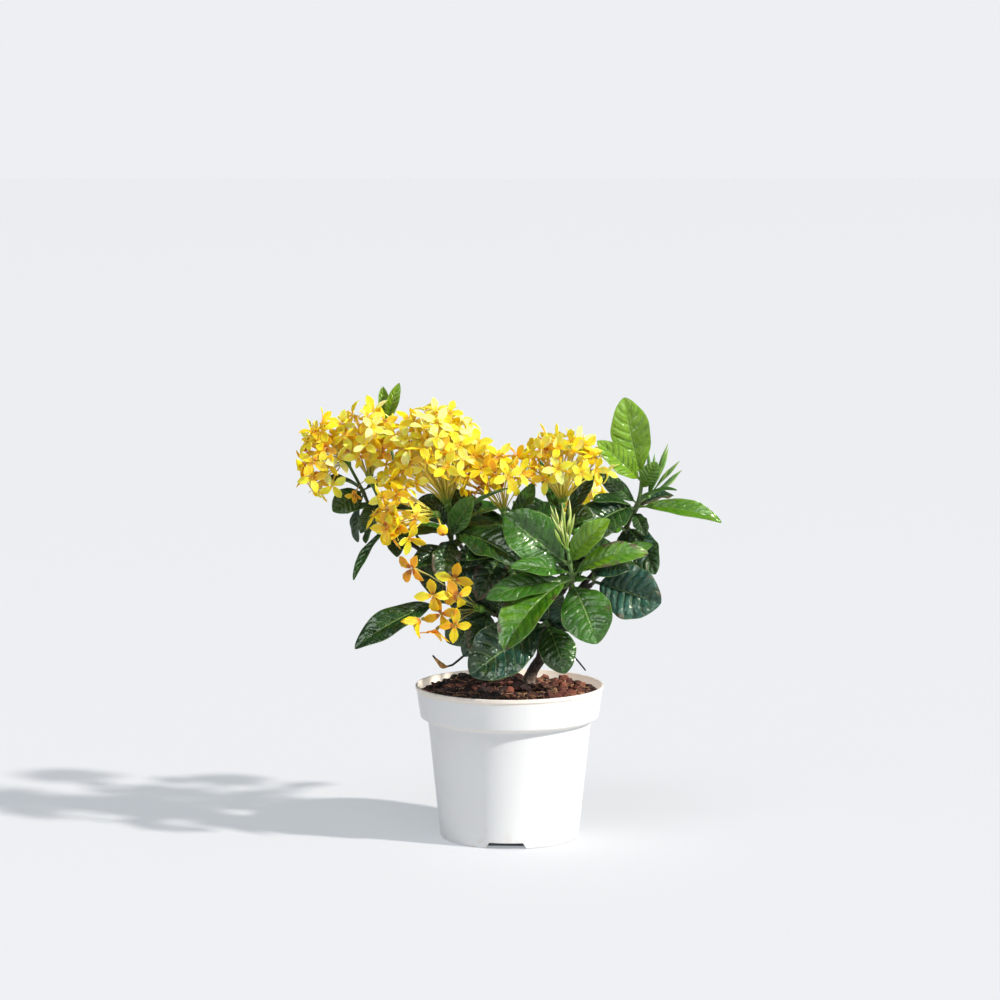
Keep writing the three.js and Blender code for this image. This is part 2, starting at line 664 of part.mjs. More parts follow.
// Seats a knot on each stalk that carries a head or a bud cluster, and notes its middle.
function growKnots(kind, clusters, scale) {
  for (const [name, cluster] of Object.entries(clusters)) {
    const along = ends[cluster.on].getTangentAt(1);
    const foot = ends[cluster.on].getPointAt(1).addScaledVector(along, SEAT);
    addTo(`${kind}_${name}`, knotSolid(foot, along, scale));
    cluster.base = foot.addScaledVector(along, KNOT.middle * scale);
  }
}

function growHeads() {
  for (const [name, head] of Object.entries(HEADS)) {
    const node = `head_${name}`;
    headRows(head).forEach((floret) => grow(node, floretSolid, floret, starSolid));
  }
}

function growBuds() {
  for (const [name, cluster] of Object.entries(BUDS)) {
    const node = `buds_${name}`;
    for (const tip of cluster.tips) {
      const root = cluster.base.clone().lerp(vec(tip), BUD_START);
      grow(node, budSolid, [root, vec(tip), cluster.radius], () => null);
    }
  }
}

// ---------------------------------------------------------------- pot and soil

function potSolid() {
  const { height, rimRadius, bandRadius, bandBottom, shoulderRadius, shoulderHeight } = POT;
  const { footRadius, wall, floor, round, segments } = POT;
  const slope = (shoulderRadius - footRadius) / shoulderHeight;
  const profile = [
    [0, 0],
    [footRadius - round, 0],
    [footRadius, round],
    [shoulderRadius, shoulderHeight],
    [bandRadius - round, bandBottom - 0.6],
    [bandRadius, bandBottom + round],
    [rimRadius - 0.3, height - round],
    [rimRadius - 0.6, height],
    [rimRadius - wall, height - 0.4],
    [bandRadius - wall, bandBottom + 2.4],
    [shoulderRadius - wall, shoulderHeight + 1.8],
    [footRadius - wall + slope * floor, floor],
    [0, floor],
  ];
  const lathe = new THREE.LatheGeometry(profile.map(([r, z]) => new THREE.Vector2(r, z)), segments);
  lathe.rotateX(Math.PI / 2);
  let pot = toSolid(lathe);
  for (let k = 0; k < NOTCH.count; k += 1) {
    const aim = THREE.MathUtils.degToRad(NOTCH.aim + (360 * k) / NOTCH.count);
    const outline = new THREE.Shape([
      new THREE.Vector2(-NOTCH.bottomWidth / 2, -1),
      new THREE.Vector2(NOTCH.bottomWidth / 2, -1),
      new THREE.Vector2(NOTCH.topWidth / 2, NOTCH.height),
      new THREE.Vector2(-NOTCH.topWidth / 2, NOTCH.height),
    ]);
    const cutter = new THREE.ExtrudeGeometry(outline, { depth: 30, bevelEnabled: false });
    cutter.rotateX(Math.PI / 2).rotateZ(Math.PI / 2);
    cutter.translate(POT.footRadius - NOTCH.depth, 0, 0).rotateZ(aim);
    const drain = new THREE.CylinderGeometry(NOTCH.drain, NOTCH.drain, 20, 10);
    drain.rotateX(Math.PI / 2).translate(POT.footRadius - NOTCH.depth + 6, 0, 0).rotateZ(aim);
    pot = pot.subtract(toSolid(cutter)).subtract(toSolid(drain));
  }
  return pot;
}

function soilSolid() {
  const { wall, floor, segments } = POT;
  const slope = (POT.shoulderRadius - POT.footRadius) / POT.shoulderHeight;
  const inset = wall + SOIL.gap + 0.1;
  const bandSlope = (POT.rimRadius - POT.bandRadius) / (POT.height - POT.bandBottom);
  const edgeRadius = POT.bandRadius - inset + bandSlope * (SOIL.edge - POT.bandBottom - 2.4);
  const profile = [
    [0, floor + SOIL.gap],
    [POT.footRadius - inset + slope * floor, floor + SOIL.gap],
    [POT.shoulderRadius - inset, POT.shoulderHeight + 1.8],
    [POT.bandRadius - inset, POT.bandBottom + 2.9],
    [edgeRadius, SOIL.edge],
  ];
  for (let ring = 1; ring <= SOIL.rings; ring += 1) {
    const inward = ring / SOIL.rings;
    const rise = (SOIL.middle - SOIL.edge) * Math.sin((inward * Math.PI) / 2);
    profile.push([edgeRadius * (1 - inward), SOIL.edge + rise]);
  }
  const lathe = new THREE.LatheGeometry(profile.map(([r, z]) => new THREE.Vector2(r, z)), segments);
  lathe.rotateX(Math.PI / 2);
  const bare = lathe.toNonIndexed();
  bare.deleteAttribute('normal');
  bare.deleteAttribute('uv');
  const merged = mergeVertices(bare, 1e-3);
  const position = merged.attributes.position;
  const draw = draws(7);
  for (let i = 0; i < position.count; i += 1) {
    const radius = Math.hypot(position.getX(i), position.getY(i));
    const lump = SOIL.lumps * (2 * draw() - 1);
    if (position.getZ(i) > SOIL.edge + 0.1 && radius < edgeRadius - 2) {
      position.setZ(i, position.getZ(i) + lump);
    }
  }
  const hole = new THREE.CylinderGeometry(1, 1, 60, TRUNK.sides);
  const holeRadius = TRUNK.radius + SOIL.gap / Math.cos(Math.PI / TRUNK.sides);
  hole.scale(holeRadius, 1, holeRadius).rotateX(Math.PI / 2);
  hole.translate(TRUNK.x, TRUNK.y, TRUNK.foot - SOIL.gap + 30);
  return toSolid(merged).subtract(toSolid(hole));
}

// ---------------------------------------------------------------- the whole object

const LOOKS = {
  pot: { color: 0xf2f0e8, roughness: 0.45 },
  soil: { color: 0x3a1f14, roughness: 0.95 },
  trunk: { color: 0x5a3f2a, roughness: 0.85 },
  shoot: { color: 0x2f6420, roughness: 0.4 },
  head: { color: 0xf4d21f, roughness: 0.55 },
  buds: { color: 0x8fbf4a, roughness: 0.5 },
};

addTo('pot', potSolid());
addTo('soil', soilSolid());
addTo('trunk', trunkSolid());
growStems();
growKnots('head', HEADS, 1);
growKnots('buds', BUDS, BUD_KNOT);
growLeaves((shoot) => shoot.leaves);
growBuds();
growHeads();
growLeaves(pairRows);

const ixora = new THREE.Group();
for (const [name, solids] of nodes) {
  const look = LOOKS[name] ?? LOOKS[name.split('_')[0]];
  const material = new THREE.MeshStandardMaterial({ ...look, metalness: 0 });
  const mesh = new THREE.Mesh(toGeometry(fuse(solids)), material);
  mesh.name = name;
  ixora.add(mesh);
}

export default ixora;
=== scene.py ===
# %% [markdown]
# # A yellow ixora in its nursery pot
# The real thing is a small shrub: a woody trunk with limbs, leafy shoots, and flower heads of
# many four-petalled florets, each on a slim tube. This lesson dresses the imported solids of that
# plant. Every leaf and floret stays where its solid is, and gets its true surface here. The
# imported model comes first, and its box is measured to set beside the finished plant's.

# %% Load the imported model
import math

import bpy
import numpy as np
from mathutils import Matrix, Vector, noise
from mathutils.kdtree import KDTree


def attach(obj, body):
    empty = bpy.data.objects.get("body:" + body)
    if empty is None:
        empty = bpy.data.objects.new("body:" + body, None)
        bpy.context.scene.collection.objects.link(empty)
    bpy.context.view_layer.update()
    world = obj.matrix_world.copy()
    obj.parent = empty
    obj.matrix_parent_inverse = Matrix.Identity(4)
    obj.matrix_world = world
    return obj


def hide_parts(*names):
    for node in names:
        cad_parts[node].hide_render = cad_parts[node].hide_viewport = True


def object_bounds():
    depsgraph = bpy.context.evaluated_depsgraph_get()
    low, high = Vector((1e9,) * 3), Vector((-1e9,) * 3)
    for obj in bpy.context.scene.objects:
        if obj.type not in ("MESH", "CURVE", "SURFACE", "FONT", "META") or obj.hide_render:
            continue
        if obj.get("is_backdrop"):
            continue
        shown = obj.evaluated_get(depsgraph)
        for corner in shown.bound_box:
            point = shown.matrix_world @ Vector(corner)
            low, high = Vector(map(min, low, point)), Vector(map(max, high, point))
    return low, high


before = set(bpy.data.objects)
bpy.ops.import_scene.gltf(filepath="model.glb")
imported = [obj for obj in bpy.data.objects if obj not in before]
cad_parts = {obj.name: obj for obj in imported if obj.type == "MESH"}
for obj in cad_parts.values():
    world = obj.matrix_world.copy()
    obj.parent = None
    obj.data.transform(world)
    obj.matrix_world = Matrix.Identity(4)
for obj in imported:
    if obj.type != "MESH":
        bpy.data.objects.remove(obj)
cad_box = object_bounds()
MM = 0.001
print(f"{len(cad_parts)} solids, box {[round(c / MM) for c in [*cad_box[0], *cad_box[1]]]} mm")

# %% [markdown]
# ## Camera, light and floor
# A long lens looks slightly down on the plant, as at a shelf. Sun comes through a window high on
# the right into a white room: one sun lamp gives the hard light, and a second, very wide one the
# soft light of the sky. The world fills the shadows with a cool half light. Glossy leaves would
# mirror it as a haze, so it is dimmer in reflections, and two panes that only reflections see
# give the leaves their sheen. The floor is plain and pale, a little darker than the pot's sunny
# side, and glows as a table top in a white room does. There is no wall behind it, so that views
# from behind work as well.

# %% Camera
CAMERA = {"place": (-7.6, -2450, 539), "down": 6.2754, "lens": 112, "sensor": 36, "sees": 200}

bpy.ops.object.camera_add(
    location=[c * MM for c in CAMERA["place"]],
    rotation=(math.radians(90 - CAMERA["down"]), 0, 0),
)
camera = bpy.context.object
camera.data.lens = CAMERA["lens"]
camera.data.sensor_width = CAMERA["sensor"]
camera.data.clip_end = CAMERA["sees"]
bpy.context.scene.camera = camera
bpy.context.scene.view_settings.view_transform = "Standard"
print(f"camera {CAMERA['lens']} mm, {CAMERA['down']} degrees down")

# %% The room's light
ROOM = {"color": (0.88, 0.94, 1.0, 1), "light": 0.37, "mirrored": 0.1, "seen": (0.847, 0.861, 0.884, 1)}

world = bpy.data.worlds.new("white room")
bpy.context.scene.world = world
world.use_nodes = True
room_nodes = world.node_tree.nodes
ray = room_nodes.new("ShaderNodeLightPath")


def background(color, strength):
    """The output of a Background node of that colour and strength."""
    made = room_nodes.new("ShaderNodeBackground")
    made.inputs["Color"].default_value = color
    made.inputs["Strength"].default_value = strength
    return made.outputs[0]


def where(kind, first, second):
    """The second background for one kind of ray, and the first for all others."""
    either = room_nodes.new("ShaderNodeMixShader")
    for socket, output in enumerate((ray.outputs[kind], first, second)):
        world.node_tree.links.new(output, either.inputs[socket])
    return either.outputs[0]


shining = background(ROOM["color"], ROOM["light"])
mirrored = background(ROOM["color"], ROOM["mirrored"])
lit = where("Is Glossy Ray", shining, mirrored)
seen = where("Is Camera Ray", lit, background(ROOM["seen"], 1))
world.node_tree.links.new(seen, room_nodes["World Output"].inputs["Surface"])
print(f"a room that shines at {ROOM['light']}, and at {ROOM['mirrored']} in reflections")

# %% Lamps and panes
# name: degrees to the right and up that it comes from, strength, width in degrees, colour
LAMPS = {
    "window": (64, 38, 4.8, 3, (1.0, 0.97, 0.92)),
    "skylight": (-18, 60, 0.75, 26, (0.9, 0.95, 1.0)),
}
# name: degrees to the right and up, metres away, size in metres, power
PANES = {"left_pane": (-36, 30, 2.4, 1.4, 36), "right_pane": (40, 24, 2.4, 1.2, 22)}


def toward(right, up):
    """The direction that lies some degrees to the right of the front, and some up."""
    right, up = math.radians(right), math.radians(up)
    return Vector((math.sin(right) * math.cos(up), -math.cos(right) * math.cos(up), math.sin(up)))


def add_lamp(name, kind, place, power, color):
    """A lamp that shines towards the middle of the scene."""
    bpy.ops.object.light_add(type=kind, location=place)
    lamp = bpy.context.object
    lamp.name = name
    lamp.rotation_euler = place.to_track_quat("Z", "Y").to_euler()
    lamp.data.energy = power
    lamp.data.color = color
    return lamp


for name, (right, up, strength, width, color) in LAMPS.items():
    lamp = add_lamp(f"{name}_light", "SUN", toward(right, up), strength, color)
    lamp.data.angle = math.radians(width)
    lamp.visible_glossy = name == "window"
for name, (right, up, far, size, power) in PANES.items():
    lamp = add_lamp(name, "AREA", toward(right, up) * far, power, ROOM["color"][:3])
    lamp.data.size = size
    lamp.visible_diffuse = False
    lamp.visible_camera = False
print(f"{len(LAMPS)} sun lamps and {len(PANES)} panes")

# %% The floor
FLOOR = {"size": 160, "color": (0.36, 0.355, 0.36, 1), "roughness": 0.9, "glow": 0.365}

bpy.ops.mesh.primitive_plane_add(size=FLOOR["size"])
floor = bpy.context.object
floor.name = "floor"
floor_paint = bpy.data.materials.new("pale floor")
floor_paint.use_nodes = True
paint = floor_paint.node_tree.nodes["Principled BSDF"]
paint.inputs["Base Color"].default_value = FLOOR["color"]
paint.inputs["Roughness"].default_value = FLOOR["roughness"]
paint.inputs["Emission Color"].default_value = ROOM["color"]
paint.inputs["Emission Strength"].default_value = FLOOR["glow"]
floor.data.materials.append(floor_paint)
floor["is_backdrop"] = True
print(f"a floor {FLOOR['size']} m wide")

# %% [markdown]
# ## Shader maths as Python
# A leaf's colour depends on where a point lies between rib and margin, so its material is
# mostly arithmetic. A small class wraps a socket, and Python's own operators then add the Math
# nodes, which keeps each material readable as a formula.

# %% A socket that Python can calculate with
class Wire:
    """An output socket. Arithmetic on it adds Math nodes to its material."""

    def __init__(self, shade, socket):
        self.shade = shade
        self.socket = socket

    def __add__(self, other):
        return self.shade.math("ADD", self, other)

    def __radd__(self, other):
        return self.shade.math("ADD", other, self)

    def __sub__(self, other):
        return self.shade.math("SUBTRACT", self, other)

    def __rsub__(self, other):
        return self.shade.math("SUBTRACT", other, self)

    def __mul__(self, other):
        return self.shade.math("MULTIPLY", self, other)

    def __rmul__(self, other):
        return self.shade.math("MULTIPLY", other, self)

    def __truediv__(self, other):
        return self.shade.math("DIVIDE", self, other)

    def __rtruediv__(self, other):
        return self.shade.math("DIVIDE", other, self)

    def __pow__(self, other):
        return self.shade.math("POWER", self, other)

    def __abs__(self):
        return self.shade.math("ABSOLUTE", self)

    def part(self, axis):
        """One of a vector's or colour's three numbers."""
        return self.shade.node("ShaderNodeSeparateXYZ", {}, {"Vector": self}, axis)


# %% A material made of such sockets
def socket_name(plain):
    """A socket's name as Blender writes it, from a Python one."""
    return plain.replace("_", " ").title().replace("Ior", "IOR")


class Shade:
    """A material with one Principled surface, whose even values are set on its own sockets."""

    def __init__(self, name, **surface):
        self.material = bpy.data.materials.new(name)
        self.material.use_nodes = True
        self.tree = self.material.node_tree
        self.surface = self.tree.nodes["Principled BSDF"]
        for socket, value in surface.items():
            self.surface.inputs[socket_name(socket)].default_value = value

    def node(self, kind, settings, inputs, output=0):
        """Any node: its settings first, then the values or links of its sockets."""
        made = self.tree.nodes.new(kind)
        for name, value in settings.items():
            if name == "stops":
                for stop in value[2:]:
                    made.color_ramp.elements.new(stop[0])
                for element, stop in zip(made.color_ramp.elements, sorted(value)):
                    element.position = stop[0]
                    element.color = (*stop[1], 1)
            else:
                setattr(made, name, value)
        for name, value in inputs.items():
            self.plug(made.inputs[name], value)
        return Wire(self, made.outputs[output])

    def plug(self, socket, value):
        if isinstance(value, Wire):
            self.tree.links.new(value.socket, socket)
        else:
            socket.default_value = value

    def math(self, operation, *values):
        return self.node("ShaderNodeMath", {"operation": operation}, dict(enumerate(values)))

    def smooth(self, value, start, end):
        """0 up to start, 1 from end on, and a soft step between them. It may run downwards."""
        span = {"Value": value, "From Min": start, "From Max": end}
        return self.node("ShaderNodeMapRange", {"interpolation_type": "SMOOTHSTEP"}, span)

    def mix(self, share, first, second, blend="MIX"):
        """Two colours mixed. A plain colour has three numbers."""
        first, second = [c if isinstance(c, Wire) else (*c, 1) for c in (first, second)]
        sockets = {0: share, 6: first, 7: second}
        return self.node("ShaderNodeMix", {"data_type": "RGBA", "blend_type": blend}, sockets, 2)

    def ramp(self, value, *stops):
        """A colour ramp. Each stop is a place from 0 to 1 and a colour."""
        return self.node("ShaderNodeValToRGB", {"stops": stops}, {"Fac": value})

    def noise(self, vector, scale, detail=2, roughness=0.5):
        values = {"Vector": vector, "Scale": scale, "Detail": detail, "Roughness": roughness}
        return self.node("ShaderNodeTexNoise", {}, values)

    def cells(self, vector, scale, feature="F1"):
        return self.node("ShaderNodeTexVoronoi", {"feature": feature}, {"Vector": vector, "Scale": scale})

    def stretched(self, vector, scale):
        return self.node("ShaderNodeVectorMath", {"operation": "MULTIPLY"}, {0: vector, 1: scale})

    def place(self):
        return self.node("ShaderNodeTexCoord", {}, {}, 3)

    def uv(self):
        return self.node("ShaderNodeTexCoord", {}, {}, 2)

    def tag(self, name):
        """The numbers that a piece's own attribute carries."""
        return self.node("ShaderNodeAttribute", {"attribute_name": name}, {}, 1)

    def relief(self, height, distance, strength=1.0):
        """A bump of that height in millimetres, which feeds the surface's normal."""
        values = {"Height": height, "Distance": distance * MM, "Strength": strength}
        self.plug(self.surface.inputs["Normal"], self.node("ShaderNodeBump", {}, values))

    def paint(self, **values):
        for name, value in values.items():
            self.plug(self.surface.inputs[socket_name(name)], value)
        return self.material


print("a Wire and a Shade class are ready")

# %% [markdown]
# ## The hands that model
# Modelling by hand is: deselect everything, add a primitive, go into edit mode, select by
# place, and move what is selected. These few helpers say that in one line each, so that the
# steps of every piece read like the buttons one would press.

# %% Selecting
def deselect():
    bpy.ops.object.select_all(action="DESELECT")


def take(*pieces):
    """Selects these pieces alone and makes the first one active."""
    deselect()
    for piece in pieces:
        piece.select_set(True)
    bpy.context.view_layer.objects.active = pieces[0]


def edit(on):
    bpy.ops.object.mode_set(mode="EDIT" if on else "OBJECT")


def select_edges(piece, wanted):
    """In edit mode, selects the edges both of whose ends are wanted by their place, in mm."""
    bpy.ops.mesh.select_mode(type="EDGE")
    bpy.ops.mesh.select_all(action="DESELECT")
    edit(False)
    places = [np.array(v.co) / MM for v in piece.data.vertices]
    for edge in piece.data.edges:
        edge.select = all(wanted(*places[end]) for end in edge.vertices)
    edit(True)


print("pieces and their edges can be picked up")


# %% Modifying and joining
def apply_modifier(piece, kind, **settings):
    """Adds a modifier with its settings and applies it."""
    take(piece)
    modifier = piece.modifiers.new(kind.lower(), kind)
    for name, value in settings.items():
        setattr(modifier, name, value)
    bpy.ops.object.modifier_apply(modifier=modifier.name)


def make_real(piece):
    """Puts an object's place, turn and scale into its mesh."""
    take(piece)
    bpy.ops.object.transform_apply(location=True, rotation=True, scale=True)


def turn_outwards():
    """In edit mode, turns all faces outwards, and leaves edit mode."""
    bpy.ops.mesh.select_all(action="SELECT")
    bpy.ops.mesh.normals_make_consistent(inside=False)
    edit(False)


def join(name, pieces):
    """Joins pieces into the first of them, which gets a new name."""
    take(*pieces)
    bpy.ops.object.join()
    pieces[0].name = name
    return pieces[0]


def smooth_over(piece, degrees):
    """Shades a piece smooth, apart from edges sharper than that."""
    take(piece)
    bpy.ops.object.shade_smooth_by_angle(angle=math.radians(degrees))


def painted(piece, paint):
    """The piece itself, with one more material."""
    piece.data.materials.append(paint)
    return piece


print("pieces can be modified, joined, smoothed and painted")


# %% Copying, tagging and handing over
def shape_of(piece):
    """A mesh's points in millimetres."""
    flat = np.zeros(3 * len(piece.data.vertices), np.float32)
    piece.data.vertices.foreach_get("co", flat)
    return flat.reshape(-1, 3) / MM


def set_tags(piece, tags):
    """Gives every point of a piece three numbers, which its material reads."""
    count = len(piece.data.vertices)
    made = piece.data.attributes.new("tag", "FLOAT_VECTOR", "POINT")
    made.data.foreach_set("vector", np.broadcast_to(np.float32(tags), (count, 3)).ravel())


def copy_of(template, points, tags):
    """A copy of a template with its own mesh, its points moved to new places in millimetres."""
    copy = bpy.data.objects.new(template.name, template.data.copy())
    bpy.context.collection.objects.link(copy)
    copy.data.vertices.foreach_set("co", (np.asarray(points) * MM).astype(np.float32).ravel())
    set_tags(copy, tags)
    return copy


def put_away(*templates):
    """Removes templates, which would otherwise count as pieces."""
    for template in templates:
        bpy.data.objects.remove(template)


def dress(piece, slot, *nodes):
    """Hands a finished piece to the frame, in place of its solids."""
    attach(piece, "root")
    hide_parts(*nodes)
    print(f"{piece.name}: {len(piece.data.polygons)} faces for {', '.join(nodes)}")


print("pieces can be copied and handed over")

# %% [markdown]
# ## The pot
# A nursery pot is one thin moulding of white polypropylene: a slightly conical body, a collar
# band that stiffens the mouth, a thin lip, and notches in the foot that let water run off. It
# starts as the disc it stands on, is drawn up ring by ring over the lip and down the inside,
# its rings are bevelled, and the notches and drain holes are cut by Boolean modifiers.

# %% Its measures and its white plastic
# in mm: rim, band, shoulder and foot are outer radii, and the last five are small offsets
POT = {
    "height": 122, "rim": 75, "band": 71, "band_bottom": 96.5, "shoulder": 65,
    "shoulder_height": 94, "foot": 55.3, "wall": 1.4, "floor": 6.4, "lip": 0.45, "segments": 144,
    "lip_depth": 3.4, "lip_step": 0.6, "mouth": 0.3, "band_inside": 2.4, "shoulder_inside": 1.8,
}
# inside is painted light on the inner wall, under is painted shadow under the foot and in its notches, and
# cream is partly dust and partly painted beige shade under the lip and the band
PLASTIC = {"lit": (0.80, 0.80, 0.80), "shade": (0.75, 0.745, 0.74), "inside": (1.0, 0.90, 0.76),
           "dust": (0.55, 0.42, 0.30), "cream": (0.88, 0.72, 0.55), "under": (0.10, 0.10, 0.11)}
INNER_CONE = {"slope": 0.133, "radius": 57.2}    # tells the inner wall from the outer one


def plastic_material():
    """Satin white plastic with faint flow marks, a little dust at the foot and soil at the lip.
    Painted light and shade too: a cream glow on the inner wall, cream shade lines under the lip
    and along the band's lower edge, and near black under the foot and in its notches.
    """
    shade = Shade("white pot plastic", roughness=0.4, subsurface_weight=0.08, subsurface_scale=0.004,
                  emission_strength=0.45)
    place = shade.place()
    height = place.part(2) / MM
    radius = (place.part(0) ** 2 + place.part(1) ** 2) ** 0.5 / MM
    top, band, foot = POT["height"], POT["band_bottom"], POT["foot"]

    clouds = shade.noise(place, 22, 3)
    streaks = shade.noise(shade.stretched(place, (90, 90, 9)), 1, 3)
    color = shade.mix(clouds * 0.5 + streaks * 0.3, PLASTIC["lit"], PLASTIC["shade"])

    # Painted light: the inner wall is tinted cream, as sun shining through the thin plastic makes it.
    cone = radius - height * INNER_CONE["slope"] - INNER_CONE["radius"]
    inside = shade.smooth(cone, 0.3, -0.4) * shade.smooth(height, band + 1.5, band + 3.5)
    color = shade.mix(inside * 0.8, color, PLASTIC["inside"])
    # Cream at the lip is partly dust and partly painted beige shade under the lip; the cream line along the
    # band's lower edge is painted shade.
    lip = shade.smooth(height, top - 5.5, top - 3.5) * shade.smooth(radius, 70.5, 72.5)
    edge = shade.smooth(abs(height - (band - 0.3)), 1.4, 0.4)
    color = shade.mix(lip * 0.45 + edge * 0.3, color, PLASTIC["cream"])
    # Painted shadow: near black under the foot and inside its notches.
    under = shade.smooth(radius, foot - 0.5, foot - 1.8) * shade.smooth(height, 6.8, 6.0)
    color = shade.mix(under, color, PLASTIC["under"])

    specks = shade.smooth(shade.noise(place, 650, 2), 0.70, 0.76)
    smears = shade.smooth(shade.noise(place, 120, 4), 0.5, 0.7)
    low = shade.smooth(height, 20, 0)
    high = shade.smooth(height, top - 3.5, top - 0.5)
    color = shade.mix(specks * 0.18 + (low * 0.25 + high * 0.3) * smears, color, PLASTIC["dust"])
    shade.relief(shade.noise(place, 900, 2) + streaks * 2, 0.02)
    # Painted light: the upper inner wall glows cream, as if sun shone through the plastic.
    glow = shade.mix(inside * shade.smooth(height, 100, 118), (0, 0, 0), PLASTIC["inside"])
    return shade.paint(base_color=color, roughness=0.36 + clouds * 0.14, emission_color=glow)


plastic = plastic_material()
print("white plastic with", len(plastic.node_tree.nodes), "nodes")


# %% The pot's body
def pot_profile():
    """Radius and height of each ring, from the foot up the outside, and down the inside."""
    p = POT
    slope = (p["shoulder"] - p["foot"]) / p["shoulder_height"]
    band_slope = (p["rim"] - p["lip"] - p["band"]) / (p["height"] - p["band_bottom"])
    under_lip = p["height"] - p["lip_depth"]
    at_lip = p["band"] + band_slope * (under_lip - p["band_bottom"])
    return [
        (p["foot"], 0),
        (p["shoulder"], p["shoulder_height"]),
        (p["band"], p["band_bottom"]),
        (at_lip, under_lip),
        (p["rim"] - 0.1, under_lip + p["lip_step"]),
        (p["rim"], p["height"]),
        (p["rim"] - p["wall"] - p["mouth"], p["height"]),
        (p["band"] - p["wall"], p["band_bottom"] + p["band_inside"]),
        (p["shoulder"] - p["wall"], p["shoulder_height"] + p["shoulder_inside"]),
        (p["foot"] - p["wall"] + slope * p["floor"], p["floor"]),
    ]


def draw_rings(rings):
    """In edit mode, draws the selected disc on through rings, given as radius and height in mm."""
    for (radius, height), (wider, higher) in zip(rings, rings[1:]):
        rise = (0, 0, (higher - height) * MM)
        bpy.ops.mesh.extrude_region_move(TRANSFORM_OT_translate={"value": rise})
        share = wider / radius
        bpy.ops.transform.resize(value=(share, share, 1), center_override=(0, 0, 0))


rings = pot_profile()
deselect()
bpy.ops.mesh.primitive_circle_add(vertices=POT["segments"], radius=rings[0][0] * MM, fill_type="NGON")
pot = bpy.context.object
pot.name = "pot_body"
edit(True)
bpy.ops.mesh.select_all(action="SELECT")
draw_rings(rings)
turn_outwards()
print(f"{len(rings)} rings, the widest {max(rings)[0]} mm from the axis")

# %% Its rounded rings
# first and last ring, and how wide they are bevelled in mm
ROUNDED = [(0, 0, 1.2), (1, 1, 0.8), (2, 2, 1.4), (3, 4, 0.2), (5, 6, 0.35), (7, 8, 1.0)]
NEAR = 0.02              # mm within which an edge lies on a ring

edit(True)
for first, last, width in ROUNDED:
    for radius, height in rings[first:last + 1]:
        select_edges(
            pot,
            lambda x, y, z: abs(math.hypot(x, y) - radius) < NEAR and abs(z - height) < NEAR,
        )
        bpy.ops.mesh.bevel(offset=width * MM, segments=4, affect="EDGES")
edit(False)
print(f"pot body with {len(pot.data.polygons)} faces")

# %% The notches in its foot and the drain holes
NOTCH = {"count": 3, "bottom": 34, "top": 26.5, "height": 4.9, "depth": 13, "bar": 30, "aim": -93}
DRAIN = {"radius": 4, "out": 6, "long": 20}      # its middle lies 6 mm out from the notch's end


def cut(piece, cutter):
    """Cuts one closed piece out of another."""
    make_real(cutter)
    apply_modifier(piece, "BOOLEAN", operation="DIFFERENCE", solver="EXACT", object=cutter)
    put_away(cutter)


notch_end = POT["foot"] - NOTCH["depth"]


def notch_cutter(aim):
    """A bar across the foot, narrower at its top, as the mould leaves it."""
    height = NOTCH["height"]
    reach = (notch_end + NOTCH["bar"] / 2) * MM
    deselect()
    bpy.ops.mesh.primitive_cube_add(
        size=MM,
        location=(reach * math.cos(aim), reach * math.sin(aim), height / 2 * MM),
        rotation=(0, 0, aim),
        scale=(NOTCH["bar"], NOTCH["bottom"], height),
    )
    cutter = bpy.context.object
    make_real(cutter)
    for vertex in cutter.data.vertices:
        across = Vector((-math.sin(aim), math.cos(aim), 0))
        if vertex.co.z > height / 2 * MM:
            vertex.co -= across * vertex.co.dot(across) * (1 - NOTCH["top"] / NOTCH["bottom"])
        else:
            vertex.co.z -= MM
    return cutter


for k in range(NOTCH["count"]):
    aim = math.radians(NOTCH["aim"] + 360 * k / NOTCH["count"])
    cut(pot, notch_cutter(aim))
    reach = (notch_end + DRAIN["out"]) * MM
    deselect()
    bpy.ops.mesh.primitive_cylinder_add(
        vertices=32, radius=DRAIN["radius"] * MM, depth=DRAIN["long"] * MM,
        location=(reach * math.cos(aim), reach * math.sin(aim), 0),
    )
    cut(pot, bpy.context.object)

painted(pot, plastic)
smooth_over(pot, 32)
dress(pot, "pot_plastic", "pot")

# %% [markdown]
# ## Curves that the plant follows
# Limbs and shoots run through the same points as their solids. Their curve is a Catmull-Rom
# curve whose pace follows the distance between points, which keeps it from swinging out.
# Repeating that curve here puts every leaf's root on its stem again.

# %% A curve through points
ARC_STEPS = 200          # how finely its length is measured


